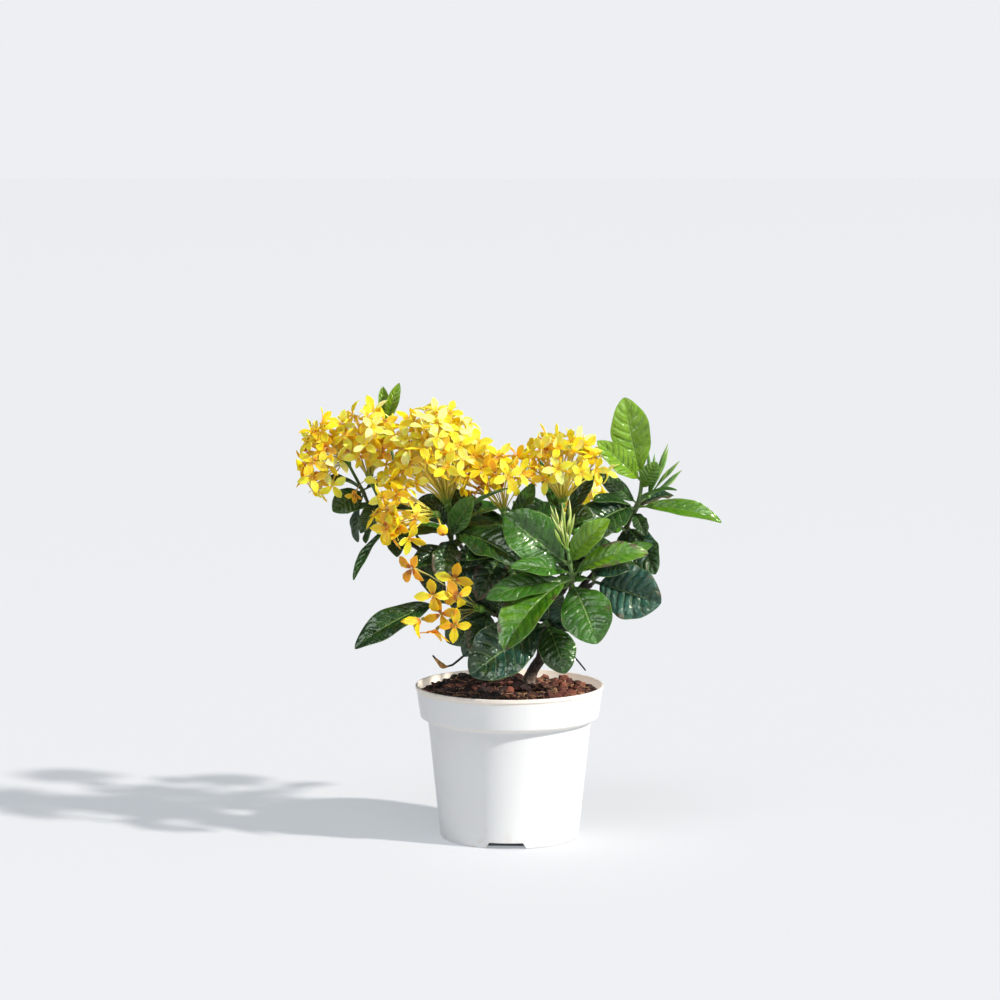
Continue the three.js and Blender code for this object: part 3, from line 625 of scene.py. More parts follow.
class Path:
    """A centripetal Catmull-Rom curve through points in millimetres."""

    def __init__(self, points):
        self.points = [np.array(point, float) for point in points]
        table = np.array([self.at(i / ARC_STEPS) for i in range(ARC_STEPS + 1)])
        steps = np.linalg.norm(np.diff(table, axis=0), axis=1)
        self.lengths = np.concatenate([[0], np.cumsum(steps)])

    def at(self, t):
        """The point at t, which runs from 0 to 1 with even steps from point to point."""
        last = len(self.points) - 1
        span = min(int(t * last), last - 1)
        share = t * last - span
        p1, p2 = self.points[span], self.points[span + 1]
        p0 = self.points[span - 1] if span else 2 * p1 - p2
        p3 = self.points[span + 2] if span + 2 <= last else 2 * p2 - p1
        d0, d1, d2 = [np.linalg.norm(b - a) ** 0.5 for a, b in ((p0, p1), (p1, p2), (p2, p3))]
        leave = ((p1 - p0) / d0 - (p2 - p0) / (d0 + d1) + (p2 - p1) / d1) * d1
        reach = ((p2 - p1) / d1 - (p3 - p1) / (d1 + d2) + (p3 - p2) / d2) * d1
        second = 3 * (p2 - p1) - 2 * leave - reach
        third = 2 * (p1 - p2) + leave + reach
        return p1 + share * (leave + share * (second + share * third))

    def along(self, share):
        """The point at a share of the curve's length."""
        t = np.interp(share * self.lengths[-1], self.lengths, np.linspace(0, 1, ARC_STEPS + 1))
        return self.at(t)

    def end_direction(self):
        return unit(self.at(1) - self.at(0.9999))


def unit(vector):
    return vector / np.linalg.norm(vector)


print(f"curves are measured in {ARC_STEPS} steps")


# %% Soft steps, seeded draws and turns
def smooth_step(value, start, end):
    """0 up to start, 1 from end on, and a soft step between them."""
    share = np.clip((value - start) / (end - start), 0, 1)
    return share * share * (3 - 2 * share)


def draws(seed):
    """A seeded draw between 0 and 1, the same one that placed the solids."""
    whole = 0xFFFFFFFF
    state = seed

    def draw():
        nonlocal state
        state = (state + 0x6D2B79F5) & whole
        t = ((state ^ (state >> 15)) * (state | 1)) & whole
        t ^= (t + (((t ^ (t >> 7)) * (t | 61)) & whole)) & whole
        return ((t ^ (t >> 14)) & whole) / 2**32

    return draw


# turns that a solid may have taken to keep clear of others: none, or one of eight ways round
TURNS = [(0, 0)]
for angle in (0.1, 0.2, 0.32, 0.46):
    for way in np.arange(8) * math.pi / 4:
        TURNS.append((angle * math.cos(way), angle * math.sin(way)))


def turned(root, end, sideways, lift):
    """A free end turned about its root: up or down, then sideways round +Z."""
    reach = end - root
    level = math.hypot(reach[0], reach[1])
    rise = math.atan2(reach[2], level) + lift
    azimuth = math.atan2(reach[1], reach[0]) + sideways
    size = np.linalg.norm(reach)
    flat = size * math.cos(rise)
    return root + np.array([flat * math.cos(azimuth), flat * math.sin(azimuth), size * math.sin(rise)])


print(f"{len(TURNS)} turns to look through")

# %% Finding the small turn that each solid took
TOUCH = 0.03             # mm within which two points are the same

corner_trees = {}
for name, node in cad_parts.items():
    tree = KDTree(len(node.data.vertices))
    for i, vertex in enumerate(node.data.vertices):
        tree.insert(vertex.co / MM, i)
    tree.balance()
    corner_trees[name] = tree


def standing_end(node, root, end, corners):
    """Where a leaf's, floret's or bud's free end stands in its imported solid, or None."""
    best, most = None, 0
    for turn in TURNS:
        tried = turned(root, end, *turn)
        hits = sum(corner_trees[node].find(corner)[2] < TOUCH for corner in corners(tried))
        if hits > most:
            best, most = tried, hits
    return best


print(f"{len(corner_trees)} solids can be searched for their corners")

# %% [markdown]
# ## Straight rods, bent along a route
# Limbs, stems, floret tubes and coir fibres are all rods. One straight rod is drawn on from a
# circle, a millimetre a ring. Each use copies it and lays its rings along a route, turning the
# rings as little as possible from one to the next, so that no rod is wrung.

# %% Rods modelled once
def straight_rod(name, sides, steps):
    """A closed rod along +Z, one millimetre thick each way from its axis, a ring each millimetre."""
    deselect()
    bpy.ops.mesh.primitive_circle_add(vertices=sides, radius=MM, fill_type="NGON")
    rod = bpy.context.object
    rod.name = name
    edit(True)
    bpy.ops.mesh.select_all(action="SELECT")
    for _ in range(steps):
        bpy.ops.mesh.extrude_region_move(TRANSFORM_OT_translate={"value": (0, 0, MM)})
    turn_outwards()
    smooth_over(rod, 50)
    return rod


# name: sides, steps
RODS = {"limb": (12, 12), "stem": (10, 16), "tube": (5, 4), "fibre": (3, 4), "bud": (6, 8)}
rods = {name: straight_rod(f"{name}_rod", *size) for name, size in RODS.items()}
print(f"{len(rods)} straight rods to copy")


# %% Laying a rod along a route
def frames_along(route):
    """Two directions across the route at each of its points, carried on without twisting."""
    forward = np.gradient(route, axis=0)
    forward /= np.linalg.norm(forward, axis=1)[:, None]
    start = np.array([1.0, 0, 0]) if abs(forward[0][0]) < 0.8 else np.array([0, 1.0, 0])
    across = []
    for direction in forward:
        start = unit(start - direction * (start @ direction))
        across.append(start)
    across = np.array(across)
    return across, np.cross(forward, across)


def laid_along(kind, route, radii, tag=(0, 0, 0)):
    """A copy of a rod whose rings stand on a route or curve, with the given radii in mm."""
    if isinstance(route, Path):
        steps = RODS[kind][1]
        route = [route.along(step / steps) for step in range(steps + 1)]
    points = shape_of(rods[kind])
    ring = np.rint(points[:, 2]).astype(int)
    first, second = frames_along(np.array(route))
    radii = np.interp(ring, np.linspace(0, ring.max(), len(radii)), radii)[:, None]
    tags = np.tile(np.array(tag, float), (len(points), 1))
    tags[:, 2] = ring / ring.max()
    offset = points[:, :1] * first[ring] + points[:, 1:2] * second[ring]
    return copy_of(rods[kind], np.array(route)[ring] + offset * radii, tags)


print("rods can be laid along routes, which tags their points from 0 at the root to 1 at the end")

# %% [markdown]
# ## The soil
# Potting soil for ixora is mostly coir: crumbs and clods from nearly black to rust red, laced
# with pale fibres. The body is a disc drawn in ring by ring and roughened by noise. Loose
# clods and crumbs, modelled once each from an icosphere, are strewn over it by seeded draws.

# %% Coir soil
SOIL_COLORS = [
    (0.0, (0.012, 0.006, 0.006)), (0.32, (0.045, 0.014, 0.010)), (0.58, (0.15, 0.038, 0.022)),
    (0.82, (0.28, 0.085, 0.048)), (1.0, (0.55, 0.34, 0.17)),
]


def soil_material():
    """Each clod's own shade comes from its tag, and grain from noise in space."""
    shade = Shade("coir soil", roughness=0.95)
    place = shade.place()
    grain = shade.noise(place, 700, 5, 0.7)
    patches = shade.noise(place, 55, 3)
    own = shade.tag("tag").part(0)
    tone = own + (grain - 0.5) * 0.55 + (patches - 0.5) * 0.4
    color = shade.ramp(tone, *SOIL_COLORS)
    shade.relief(grain, 0.5)
    return shade.paint(base_color=color, roughness=1.0 - patches * 0.25)


coir = soil_material()
print(f"coir from nearly black to straw in {len(SOIL_COLORS)} shades")

# %% The soil's body
SOIL = {"edge": 115.5, "middle": 119, "radius": 71.9, "rings": 44, "around": 150, "seed": 7}
SOIL_WALL = [(54, 7), (62.8, 95), (69, 100)]     # radius and height of rings inside the pot
LUMPS = {"apart": 11, "height": 1.5, "fade": 12}
HEAP = {"x": -34, "y": 34, "width": 26, "height": 3.6}
BED = 0.34               # shade of the bed under the clods


def soil_height(x, y):
    """The height of the lumpy surface, which rises softly towards the middle."""
    inward = max(0.0, 1 - math.hypot(x, y) / SOIL["radius"])
    mound = (SOIL["middle"] - SOIL["edge"]) * math.sin(inward * math.pi / 2)
    lumps = noise.fractal(Vector((x, y, 0)) / LUMPS["apart"], 0.8, 2.1, 4) * LUMPS["height"]
    far = (x - HEAP["x"]) ** 2 + (y - HEAP["y"]) ** 2
    heap = HEAP["height"] * math.exp(-far / HEAP["width"] ** 2)
    return SOIL["edge"] + mound + (lumps + heap) * min(1, inward * LUMPS["fade"])


bottom_radius, bottom = SOIL_WALL[0]
deselect()
bpy.ops.mesh.primitive_circle_add(vertices=SOIL["around"], radius=bottom_radius * MM, fill_type="NGON",
                                  location=(0, 0, bottom * MM))
soil = bpy.context.object
make_real(soil)
edit(True)
bpy.ops.mesh.select_all(action="SELECT")
draw_rings(SOIL_WALL + [(SOIL["radius"], SOIL["edge"])])
draw_rings([(radius, SOIL["edge"]) for radius in np.linspace(SOIL["radius"], 0.6, SOIL["rings"])])
turn_outwards()
for vertex in soil.data.vertices:
    if vertex.co.z > (SOIL["edge"] - 0.1) * MM:
        vertex.co.z = soil_height(vertex.co.x / MM, vertex.co.y / MM) * MM
set_tags(soil, [BED, 0, 0])
painted(soil, coir)
smooth_over(soil, 60)
print(f"soil bed with {len(soil.data.polygons)} faces")

# %% Clods and crumbs on it
CLODS = {"many": 340, "least": 1.5, "most": 4.9, "faces": 2, "straw": 0.05}
CRUMBS = {"many": 1500, "least": 0.5, "most": 1.5, "faces": 1, "straw": 0.45}
LUMP = {"mostly_small": 2.4, "squeeze": (0.55, 1.25), "rough": 0.28, "flat": 0.8, "raised": 0.5}
# sunlit_right, with straw_from and straw_to on the right, paints sunlight on the soil's sunny side
TONE = {"darkest": 0.08, "spread": 0.66, "mostly_dark": 1.4, "sunlit_right": 0.16,
        "straw": 0.92, "straw_from": 10, "straw_to": 60}


def random_turn(draw):
    """A matrix that turns points any way, without mirroring them."""
    spin = np.linalg.qr(draw.normal(size=(3, 3)))[0]
    if np.linalg.det(spin) < 0:
        spin[:, 0] *= -1
    return spin


def strew(kind, draw):
    """Copies of one icosphere, each squeezed, roughened and set down on the bed."""
    deselect()
    bpy.ops.mesh.primitive_ico_sphere_add(subdivisions=kind["faces"], radius=MM)
    ball = painted(bpy.context.object, coir)
    round_points = shape_of(ball)
    made = []
    for _ in range(kind["many"]):
        size = kind["least"] + (kind["most"] - kind["least"]) * draw.random() ** LUMP["mostly_small"]
        radius = (SOIL["radius"] - size) * math.sqrt(draw.random())
        turn = draw.uniform(0, 2 * math.pi)
        x, y = radius * math.cos(turn), radius * math.sin(turn)
        squeeze = draw.uniform(*LUMP["squeeze"], 3) * size
        rough = 1 + draw.uniform(-LUMP["rough"], LUMP["rough"], (len(round_points), 1))
        points = (round_points * squeeze * rough) @ random_turn(draw).T
        points[:, 2] *= LUMP["flat"]
        seat = soil_height(x, y) + size * draw.uniform(0.0, LUMP["raised"])
        tone = TONE["darkest"] + TONE["spread"] * draw.random() ** TONE["mostly_dark"]
        # Painted sunlight: clods are lighter and redder towards the sunny right, and the pale straw bits,
        # real coir, gather only there as part of it.
        tone += TONE["sunlit_right"] * x / SOIL["radius"]
        if draw.random() < kind["straw"] * smooth_step(x, TONE["straw_from"], TONE["straw_to"]):
            tone = TONE["straw"]
        made.append(copy_of(ball, points + [x, y, seat], (tone, 0, 0)))
    put_away(ball)
    return made


draw = np.random.default_rng(SOIL["seed"])
strewn = strew(CLODS, draw) + strew(CRUMBS, draw)
print(f"{len(strewn)} clods and crumbs")

# %% Fibres on it
FIBRES = {"many": 230, "least": 5, "most": 15, "radius": 0.22, "shade": 0.95,
          "bend": 0.5, "rise": (0.8, 2.4), "uneven": (-0.3, 0.5)}


def fibres(draw):
    """Pale threads of coir that lie on the clods in short arcs."""
    made = []
    steps = RODS["fibre"][1]
    for _ in range(FIBRES["many"]):
        radius = (SOIL["radius"] - FIBRES["most"] / 2) * math.sqrt(draw.random())
        turn = draw.uniform(0, 2 * math.pi)
        heading = draw.uniform(0, 2 * math.pi)
        bend = draw.uniform(-FIBRES["bend"], FIBRES["bend"])
        length = draw.uniform(FIBRES["least"], FIBRES["most"])
        x, y = radius * math.cos(turn), radius * math.sin(turn)
        rise = draw.uniform(*FIBRES["rise"])
        route = []
        for _ in range(steps + 1):
            route.append([x, y, soil_height(x, y) + rise + draw.uniform(*FIBRES["uneven"])])
            heading += bend
            x += length / steps * math.cos(heading)
            y += length / steps * math.sin(heading)
        if math.hypot(x, y) < SOIL["radius"] - 1:
            fibre = laid_along("fibre", route, [FIBRES["radius"]], (FIBRES["shade"], 0, 0))
            made.append(painted(fibre, coir))
    return made


threads = fibres(draw)
print(f"{len(threads)} fibres")
dress(join("coir_soil", [soil] + strewn + threads), "soil", "soil")

# %% [markdown]
# ## The woody trunk
# The trunk leans out of the soil and forks into limbs. Separate rods would show seams at the
# forks, so the rods are joined and remeshed by voxels into one skin, as bark grows over a fork.
# Two Displace modifiers then raise the bark's ridges and knots, and thin dry twigs are added,
# one of them with a withered husk at its end.

# %% Where the trunk and limbs run
# the trunk's points and its radius along them, in mm
TRUNK = [[15, 8, 88], [15, 8, 118], [18, 7, 131], [26, 1, 145], [24, -2, 159]]
TRUNK_RADII = [5.2, 6.76, 5.46, 4.68, 4.16, 3.744]
# name: points, radius at the root and at the end
LIMBS = {
    "left": ([[24, -2, 157], [2, -8, 178], [-28, -14, 205], [-42, -20, 222]], 3.6, 2.4),
    "farLeft": ([[-20, -12, 198], [-56, -4, 219], [-84, 0, 240]], 2.9, 2.2),
    "outerLeft": ([[-72, -1, 231], [-90, 6, 240], [-104, 6, 254]], 2.2, 1.8),
    "young": ([[-62, -2, 224], [-74, 10, 240], [-80, 16, 254]], 2.0, 1.7),
    "centre": ([[21, -2, 160], [8, -6, 195], [0, -12, 222]], 3.2, 2.3),
    "right": ([[26, -2, 158], [38, 2, 190], [44, -2, 222]], 3.4, 2.3),
    "farRight": ([[34, 0, 176], [62, 4, 205], [82, 4, 228]], 3.0, 2.3),
    "lowRight": ([[56, 3, 198], [62, -8, 201], [65, -18, 205]], 2.2, 1.9),
    "front": ([[25, -3, 158], [36, -22, 176], [44, -40, 190]], 3.0, 2.3),
    "lowFront": ([[30, -12, 166], [30, -22, 168], [30, -31, 171]], 2.3, 1.9),
    "lowLeft": ([[10, -6, 170], [-3, -22, 177], [-11, -36, 183]], 2.6, 2.0),
    "lowFarLeft": ([[-18, -12, 195], [-32, -17, 193], [-42, -22, 192]], 2.3, 1.9),
    "backLeft": ([[-6, -9, 184], [-24, 16, 208], [-38, 34, 227]], 2.6, 2.1),
    "back": ([[18, -3, 164], [14, 26, 192], [10, 46, 212]], 2.8, 2.1),
    "backRight": ([[36, 1, 185], [50, 26, 204], [57, 41, 215]], 2.4, 2.0),
}
TWIGS = [
    ([[2, -8, 176], [-32, -30, 153], [-50, -40, 142], [-60, -45, 152]], 1.2, 0.75),
    ([[30, 0, 160], [44, -12, 152], [52, -20, 146], [60, -25, 137]], 0.9, 0.6),
]
HUSK = [[-49, -39.5, 142.5], [-52, -41, 143], [-56, -43, 147], [-60.5, -45.2, 152.5]]
HUSK_RADII = [0.8, 2.3, 1.6, 1.0, 0.3]
ROUND = 0.85             # a round limb's radius, as a share of its four-sided solid's
print(f"{len(LIMBS)} limbs and {len(TWIGS)} dry twigs")


# %% Bark
def bark_material():
    """Dark fissured bark, greyer and lighter where the trunk leaves the soil."""
    shade = Shade("ixora bark", roughness=0.85)
    place = shade.place()
    height = place.part(2)
    grain = shade.noise(shade.stretched(place, (420, 420, 90)), 1, 5, 0.65)
    patches = shade.noise(place, 90, 3)
    low = shade.smooth(height, 0.142, 0.119) * 0.5
    tone = grain * 0.7 + patches * 0.35 + low - 0.15
    color = shade.ramp(tone, (0.15, (0.010, 0.007, 0.005)), (0.5, (0.040, 0.026, 0.017)),
                       (0.78, (0.14, 0.098, 0.070)), (1.0, (0.33, 0.26, 0.20)))
    shade.relief(grain + patches * 0.4, 0.6)
    return shade.paint(base_color=color, roughness=0.95 - patches * 0.25)


def husk_material():
    """A withered calyx, curled up and rusty."""
    shade = Shade("dry husk", roughness=0.75)
    grain = shade.noise(shade.stretched(shade.place(), (350, 350, 120)), 1, 4)
    shade.relief(grain, 0.4)
    color = shade.ramp(grain, (0.3, (0.15, 0.06, 0.015)), (0.7, (0.60, 0.28, 0.05)))
    return shade.paint(base_color=color)


bark, rust = bark_material(), husk_material()
print("bark and husk materials ready")

# %% Trunk and limbs in one skin
VOXEL = 0.65             # mm

limb_paths = {name: Path(points) for name, (points, _, _) in LIMBS.items()}
limbs = [laid_along("limb", Path(TRUNK), TRUNK_RADII)]
for name, (_, start, end) in LIMBS.items():
    limbs.append(laid_along("limb", limb_paths[name], [start * ROUND, end * ROUND]))
trunk = join("trunk_and_limbs", limbs)
apply_modifier(trunk, "REMESH", mode="VOXEL", voxel_size=VOXEL * MM)
apply_modifier(trunk, "SMOOTH", factor=0.6, iterations=4)
print(f"one skin of {len(trunk.data.polygons)} faces")

# %% The bark's relief, the twigs and the husk
# name: how far its bumps stand apart, and how high they are, in mm
BARK_RELIEF = {"ridges": (2.2, 0.7), "knobs": (8, 1.9)}

for name, (apart, height) in BARK_RELIEF.items():
    bumps = bpy.data.textures.new(f"bark {name}", "CLOUDS")
    bumps.noise_scale = apart * MM
    apply_modifier(trunk, "DISPLACE", texture=bumps, strength=height * MM, mid_level=0.5,
                   texture_coords="LOCAL")
twigs = [laid_along("limb", Path(points), [start, end]) for points, start, end in TWIGS]
trunk = join("trunk_and_limbs", [trunk] + twigs)
trunk.data.materials.clear()
painted(trunk, bark)
husk = painted(laid_along("limb", Path(HUSK), HUSK_RADII), rust)
trunk = join("trunk_and_limbs", [trunk, husk])
smooth_over(trunk, 60)
dress(trunk, "bark", "trunk")

# %% [markdown]
# ## Where shoots and leaves are
# Each shoot goes on from its limb through its stem points. A leaf is given by its place along
# the stem, its tip, its width, how high its rib arches, where its face looks, and its age, from
# 0 for an old dark blade to 1 for a young lime one; a little less than 0 paints a pale blue-green
# sheen on it. Shoots also carry pairs of leaves whose places a seeded draw gives.

# %% The shoots
UP = [0, -0.35, 1]
FRONT = [0, -1, 0.35]
LEFT = [-1, -0.5, 0.5]
TILTED = [0, -0.8, 0.7]
SIDEWAYS = [-0.6, -1, 0.1]

# name: limb, stem points, seed, pairs, reach of a pair's leaves, leaves
SHOOTS = {
    "far_left": ("outerLeft", [[-117, 1, 278], [-126, -3, 296]], 11, 1, 36, [
        (0.55, [-139, -20, 263], 20, 3, FRONT, 0.35),
        (0.5, [-122, -10, 237], 13, 3, LEFT, 0.05),
    ]),
    "left": ("farLeft", [[-100, -3, 264], [-108, -5, 281]], 12, 1, 40, [
        (0.3, [-123, -18, 208], 13, 3, LEFT, 0.4),
        (0.75, [-117, -27, 247], 14, 3, FRONT, 0.2),
        (0.55, [-113, -24, 238], 14, 2, LEFT, 0.3),
        (0.25, [-88, -38, 230], 16, 3, TILTED, 0.25),
    ]),
    "young": ("young", [[-90, 24, 290], [-99, 23, 325]], 13, 0, 34, [
        (0.97, [-101, 22, 358], 10, 1, FRONT, 0.95),
        (0.99, [-88, 16, 361], 10, 1, FRONT, 1.0),
    ]),
    "main": ("left", [[-46, -25, 243], [-48, -29, 263]], 14, 1, 46, [
        (0.62, [9, -72, 229], 30, 8, TILTED, 0.3),
        (0.7, [3, -46, 243], 20, 5, TILTED, 0.3),
        (0.78, [-2, -80, 288], 15, 3, UP, 0.35),
        (0.7, [-70, -12, 275], 24, 4, FRONT, 0.08),
        (0.85, [-28, -6, 274], 26, 4, FRONT, 0.05),
        (0.55, [-24, -64, 276], 18, 3, FRONT, 0.5),
        (0.5, [-54, -62, 213], 22, 4, FRONT, 0.15),
        (0.3, [-76, -50, 222], 20, 4, TILTED, 0.2),
    ]),
    "centre": ("centre", [[-3, -24, 244], [-4, -32, 258]], 15, 1, 46, [
        (0.6, [19, -22, 286], 14, 2, FRONT, 0.4),
        (0.2, [-33, -66, 232], 20, 4, TILTED, 0.3),
        (0.12, [12, -50, 196], 26, 5, FRONT, 0.12),
        (0.3, [-25, -56, 198], 24, 5, FRONT, 0.08),
        (0.45, [-40, -50, 222], 20, 4, TILTED, 0.15),
        (0.1, [-38, -6, 208], 26, 4, FRONT, 0.05),
    ]),
    "right": ("right", [[42, -14, 246], [41, -23, 264]], 16, 1, 46, [
        (0.75, [66, 0, 294], 13, 3, FRONT, 0.25),
        (0.6, [64, -46, 262], 22, 5, TILTED, 0.3),
        (0.7, [18, -44, 272], 20, 3, FRONT, 0.4),
        (0.55, [24, 24, 301], 10, 1, UP, 0.4),
        (0.3, [72, -34, 232], 24, 4, TILTED, 0.2),
        (0.12, [53, -38, 213], 24, 4, FRONT, 0.1),
    ]),
    "far_right": ("farRight", [[94, 3, 250], [102, 0, 268], [105, -4, 288]], 17, 1, 44, [
        (0.98, [90, -15, 352], 31, 2, FRONT, 1.0),
        (0.95, [69, -30, 319], 19, 3, FRONT, 0.93),
        (0.85, [110, -8, 305], 15, 2, FRONT, 0.7),
        (0.75, [131, -20, 281], 7, 2, UP, 0.5),
        (0.62, [168, -15, 255], 17, 8, TILTED, 0.8),
        (0.66, [70, -6, 292], 14, 2, FRONT, 0.4),
        (0.6, [50, -38, 254], 34, 10, TILTED, 0.15),
        (0.3, [51, -48, 252], 24, 5, TILTED, 0.55),
        (0.55, [107, -24, 244], 12, 2, FRONT, 0.2),
        (0.35, [114, -36, 216], 24, 5, FRONT, 0.12),
        (0.08, [93, -14, 233], 20, 3, FRONT, 0.15),
    ]),
    "low_right": ("lowRight", [[66, -26, 209], [66, -32, 214]], 18, 1, 44, [
        (0.8, [111, -44, 240], 15, 4, TILTED, 0.6),
        # an age below 0 paints a pale blue-green sheen on this leaf
        (0.4, [118, -48, 194], 43, 4, FRONT, -0.15),
        (0.9, [67, -34, 250], 20, 3, FRONT, 0.35),
        (0.7, [93, -60, 222], 20, 4, TILTED, 0.12),
    ]),
    "front": ("front", [[47, -51, 203], [48, -59, 216], [45, -61, 235]], 19, 0, 40, [
        (0.62, [107, -78, 239], 20, 12, TILTED, 0.75),
        (0.52, [67, -92, 169], 40, 6, FRONT, 0.53),
        (0.6, [-5, -96, 165], 37, 9, UP, 0.68),
        (0.8, [0, -62, 270], 38, 4, FRONT, 0.52),
        (0.84, [76, -84, 264], 20, 7, SIDEWAYS, 0.88),
        (0.68, [-1, -82, 229], 16, 3, TILTED, 0.55),
        (0.56, [-18, -86, 205], 22, 4, TILTED, 0.4),
    ]),
    "low_front": ("lowFront", [[30, -42, 176], [28, -50, 180]], 20, 0, 40, [
        (0.8, [43, -74, 143], 29, 5, FRONT, 0.27),
        (0.9, [-31, -70, 141], 44, 6, FRONT, 0.0),
        (0.5, [0, -52, 214], 24, 4, FRONT, 0.1),
        (0.3, [62, -50, 195], 24, 4, FRONT, 0.1),
        (0.7, [-9, -62, 158], 24, 4, FRONT, 0.32),
        (0.4, [30, -50, 216], 27, 4, FRONT, 0.06),
    ]),
    "low_left": ("lowLeft", [[-15, -42, 186], [-19, -47, 188]], 21, 0, 38, [
        (0.6, [-22, -72, 158], 25, 5, FRONT, 0.12),
        (0.3, [-20, -34, 226], 18, 3, FRONT, 0.15),
        (0.4, [-36, -56, 153], 18, 4, FRONT, 0.05),
        (0.2, [-3, -50, 206], 22, 4, FRONT, 0.18),
        (0.12, [-37, -38, 226], 22, 4, FRONT, 0.06),
        (0.1, [-49, -30, 200], 24, 3, FRONT, 0.1),
        (0.5, [-50, -42, 163], 26, 4, FRONT, 0.05),
        (0.5, [-50, -46, 222], 20, 3, FRONT, 0.2),
    ]),
    "low_far_left": ("lowFarLeft", [[-50, -28, 192], [-56, -33, 193]], 22, 0, 38, [
        (0.9, [-121, -60, 161], 25, 6, TILTED, 0.25),
        (0.5, [-68, -40, 227], 18, 3, FRONT, 0.2),
    ]),
    "back_left": ("backLeft", [[-43, 48, 246], [-45, 54, 258]], 23, 2, 54, []),
    "back": ("back", [[6, 58, 232], [4, 62, 250], [4, 62, 262]], 24, 3, 54, []),
    "back_right": ("backRight", [[57, 52, 228], [56, 57, 236]], 25, 2, 54, []),
}
# stalks without leaves. name: shoot it belongs to, points, radius at its root
STALKS = {
    "front_left": ("main", [[-46, -24, 240], [-52, -36, 254], [-55, -43, 260]], 1.1),
    "far_right_buds": ("far_right", [[101, 0, 266], [105, 0, 269], [108, 0, 271]], 1.2),
}
SEAT = 0.3               # mm of air that the solids leave where a shoot stands on its limb
STRAIGHT = 6             # mm that a shoot goes straight on from its limb

stems = {}
for name, (limb, points, *_) in SHOOTS.items():
    end = limb_paths[limb].points[-1]
    onward = limb_paths[limb].end_direction()
    stems[name] = Path([end + onward * SEAT, end + onward * STRAIGHT, *points])
for name, (_, points, _) in STALKS.items():
    stems[name] = Path(points)
print(f"{len(stems)} stems and stalks")

# %% Pairs of leaves by a seeded draw
PAIR = {"from": 0.15, "over": 0.8, "twist": 1.2, "stray": 0.4, "shortest": 0.8, "spare": 0.3,
        "rise": 0.35, "droop": 0.75, "width": 0.38, "crest": 0.12, "oldest": 0.12, "youngest": 0.5}


def pair_leaves(name):
    """Leaves that face each other in pairs, each pair turned a quarter from the last."""
    seed, pairs, length = SHOOTS[name][2:5]
    draw = draws(seed)
    leaves = []
    for pair in range(pairs):
        along = PAIR["from"] + PAIR["over"] * (pair + 0.5) / pairs
        turn = pair * math.pi / 2 + PAIR["twist"] * draw()
        for side in (0, math.pi):
            azimuth = turn + side + PAIR["stray"] * (draw() - 0.5)
            reach = length * (PAIR["shortest"] + PAIR["spare"] * draw())
            rise = reach * (PAIR["rise"] - PAIR["droop"] * draw() * (1 - along / 2))
            offset = np.array([reach * math.cos(azimuth), reach * math.sin(azimuth), rise])
            age = PAIR["oldest"] + (PAIR["youngest"] - PAIR["oldest"]) * abs(math.sin(7 * azimuth + seed))
            tip = stems[name].along(along) + offset
            leaves.append((along, tip, reach * PAIR["width"], reach * PAIR["crest"], UP, age))
    return leaves


print(f"{sum(2 * shoot[3] for shoot in SHOOTS.values())} leaves in pairs")

# %% [markdown]
# ## A leaf
# An ixora leaf is thick and glossy: a short round stalk, a blade widest past its middle, a
# sunken midrib that stands out as a keel below, and eight or nine pairs of side veins with the
# blade quilted up between them. It is modelled once, flat, as a closed sheet from a grid. Each
# copy is laid on its own rib, so that all leaves have the same anatomy and none the same form.

# %% Along the rib of a leaf
LEAF = {"petiole": 1.3, "fold": 0.24, "solid": 0.9, "slim": 28, "blade": 0.1, "thickness": 0.5}


def blade_shape(v):
    """Half the blade's width at v, from 0 where the stalk ends to 1 at the tip."""
    return np.sin(np.pi * np.clip(v, 0, 1) ** 1.25).clip(0) ** 0.64


def rib_frame(root, tip, crest, face, u):
    """The rib's points at u, and the directions across the blade and out of its upper face."""
    chord = tip - root
    along = unit(chord)
    lift = np.array(face, float)
    lift = unit(lift - along * (lift @ along))
    bend = root + chord * 0.45 + lift * 2 * crest
    u = np.asarray(u, float)[:, None]
    middle = (1 - u) ** 2 * root + 2 * (1 - u) * u * bend + u**2 * tip
    tangent = (1 - u) * (bend - root) + u * (tip - bend)
    tangent /= np.linalg.norm(tangent, axis=1)[:, None]
    side = np.cross(tangent, lift)
    side /= np.linalg.norm(side, axis=1)[:, None]
    return middle, side, np.cross(side, tangent)


def solid_corners(root, tip, width, crest, face):
    """Corners of the leaf's solid near its tip."""
    rows = np.array([0.42, 0.76, 1.0] if width < LEAF["slim"] else [0.6, 0.85, 1.0])
    middle, side, normal = rib_frame(root, tip, crest, face, rows)
    v = (rows - LEAF["blade"]) / (1 - LEAF["blade"])
    half = np.maximum(width / 2 * blade_shape(v), LEAF["petiole"] / 2)[:, None]
    corners = []
    for share in (-1, 0, 1):
        for layer in (-0.5, 0.5):
            lift = abs(share) * half * LEAF["fold"] + layer * LEAF["solid"]
            corners += list(middle + side * share * half + normal * lift)
    return corners


steps = np.linspace(0, 1, 101)
print(f"a blade is widest at {steps[blade_shape(steps).argmax()]:.2f} of its length")

# %% The flat leaf, modelled once
LEAF_GRID = {"across": 10, "along": 46, "ease": 0.5}


def eased(even):
    """Even rows drawn closer together towards the stalk and the tip, where the outline bends most."""
    return even * (1 - LEAF_GRID["ease"]) + LEAF_GRID["ease"] * (1 - np.cos(np.pi * even)) / 2


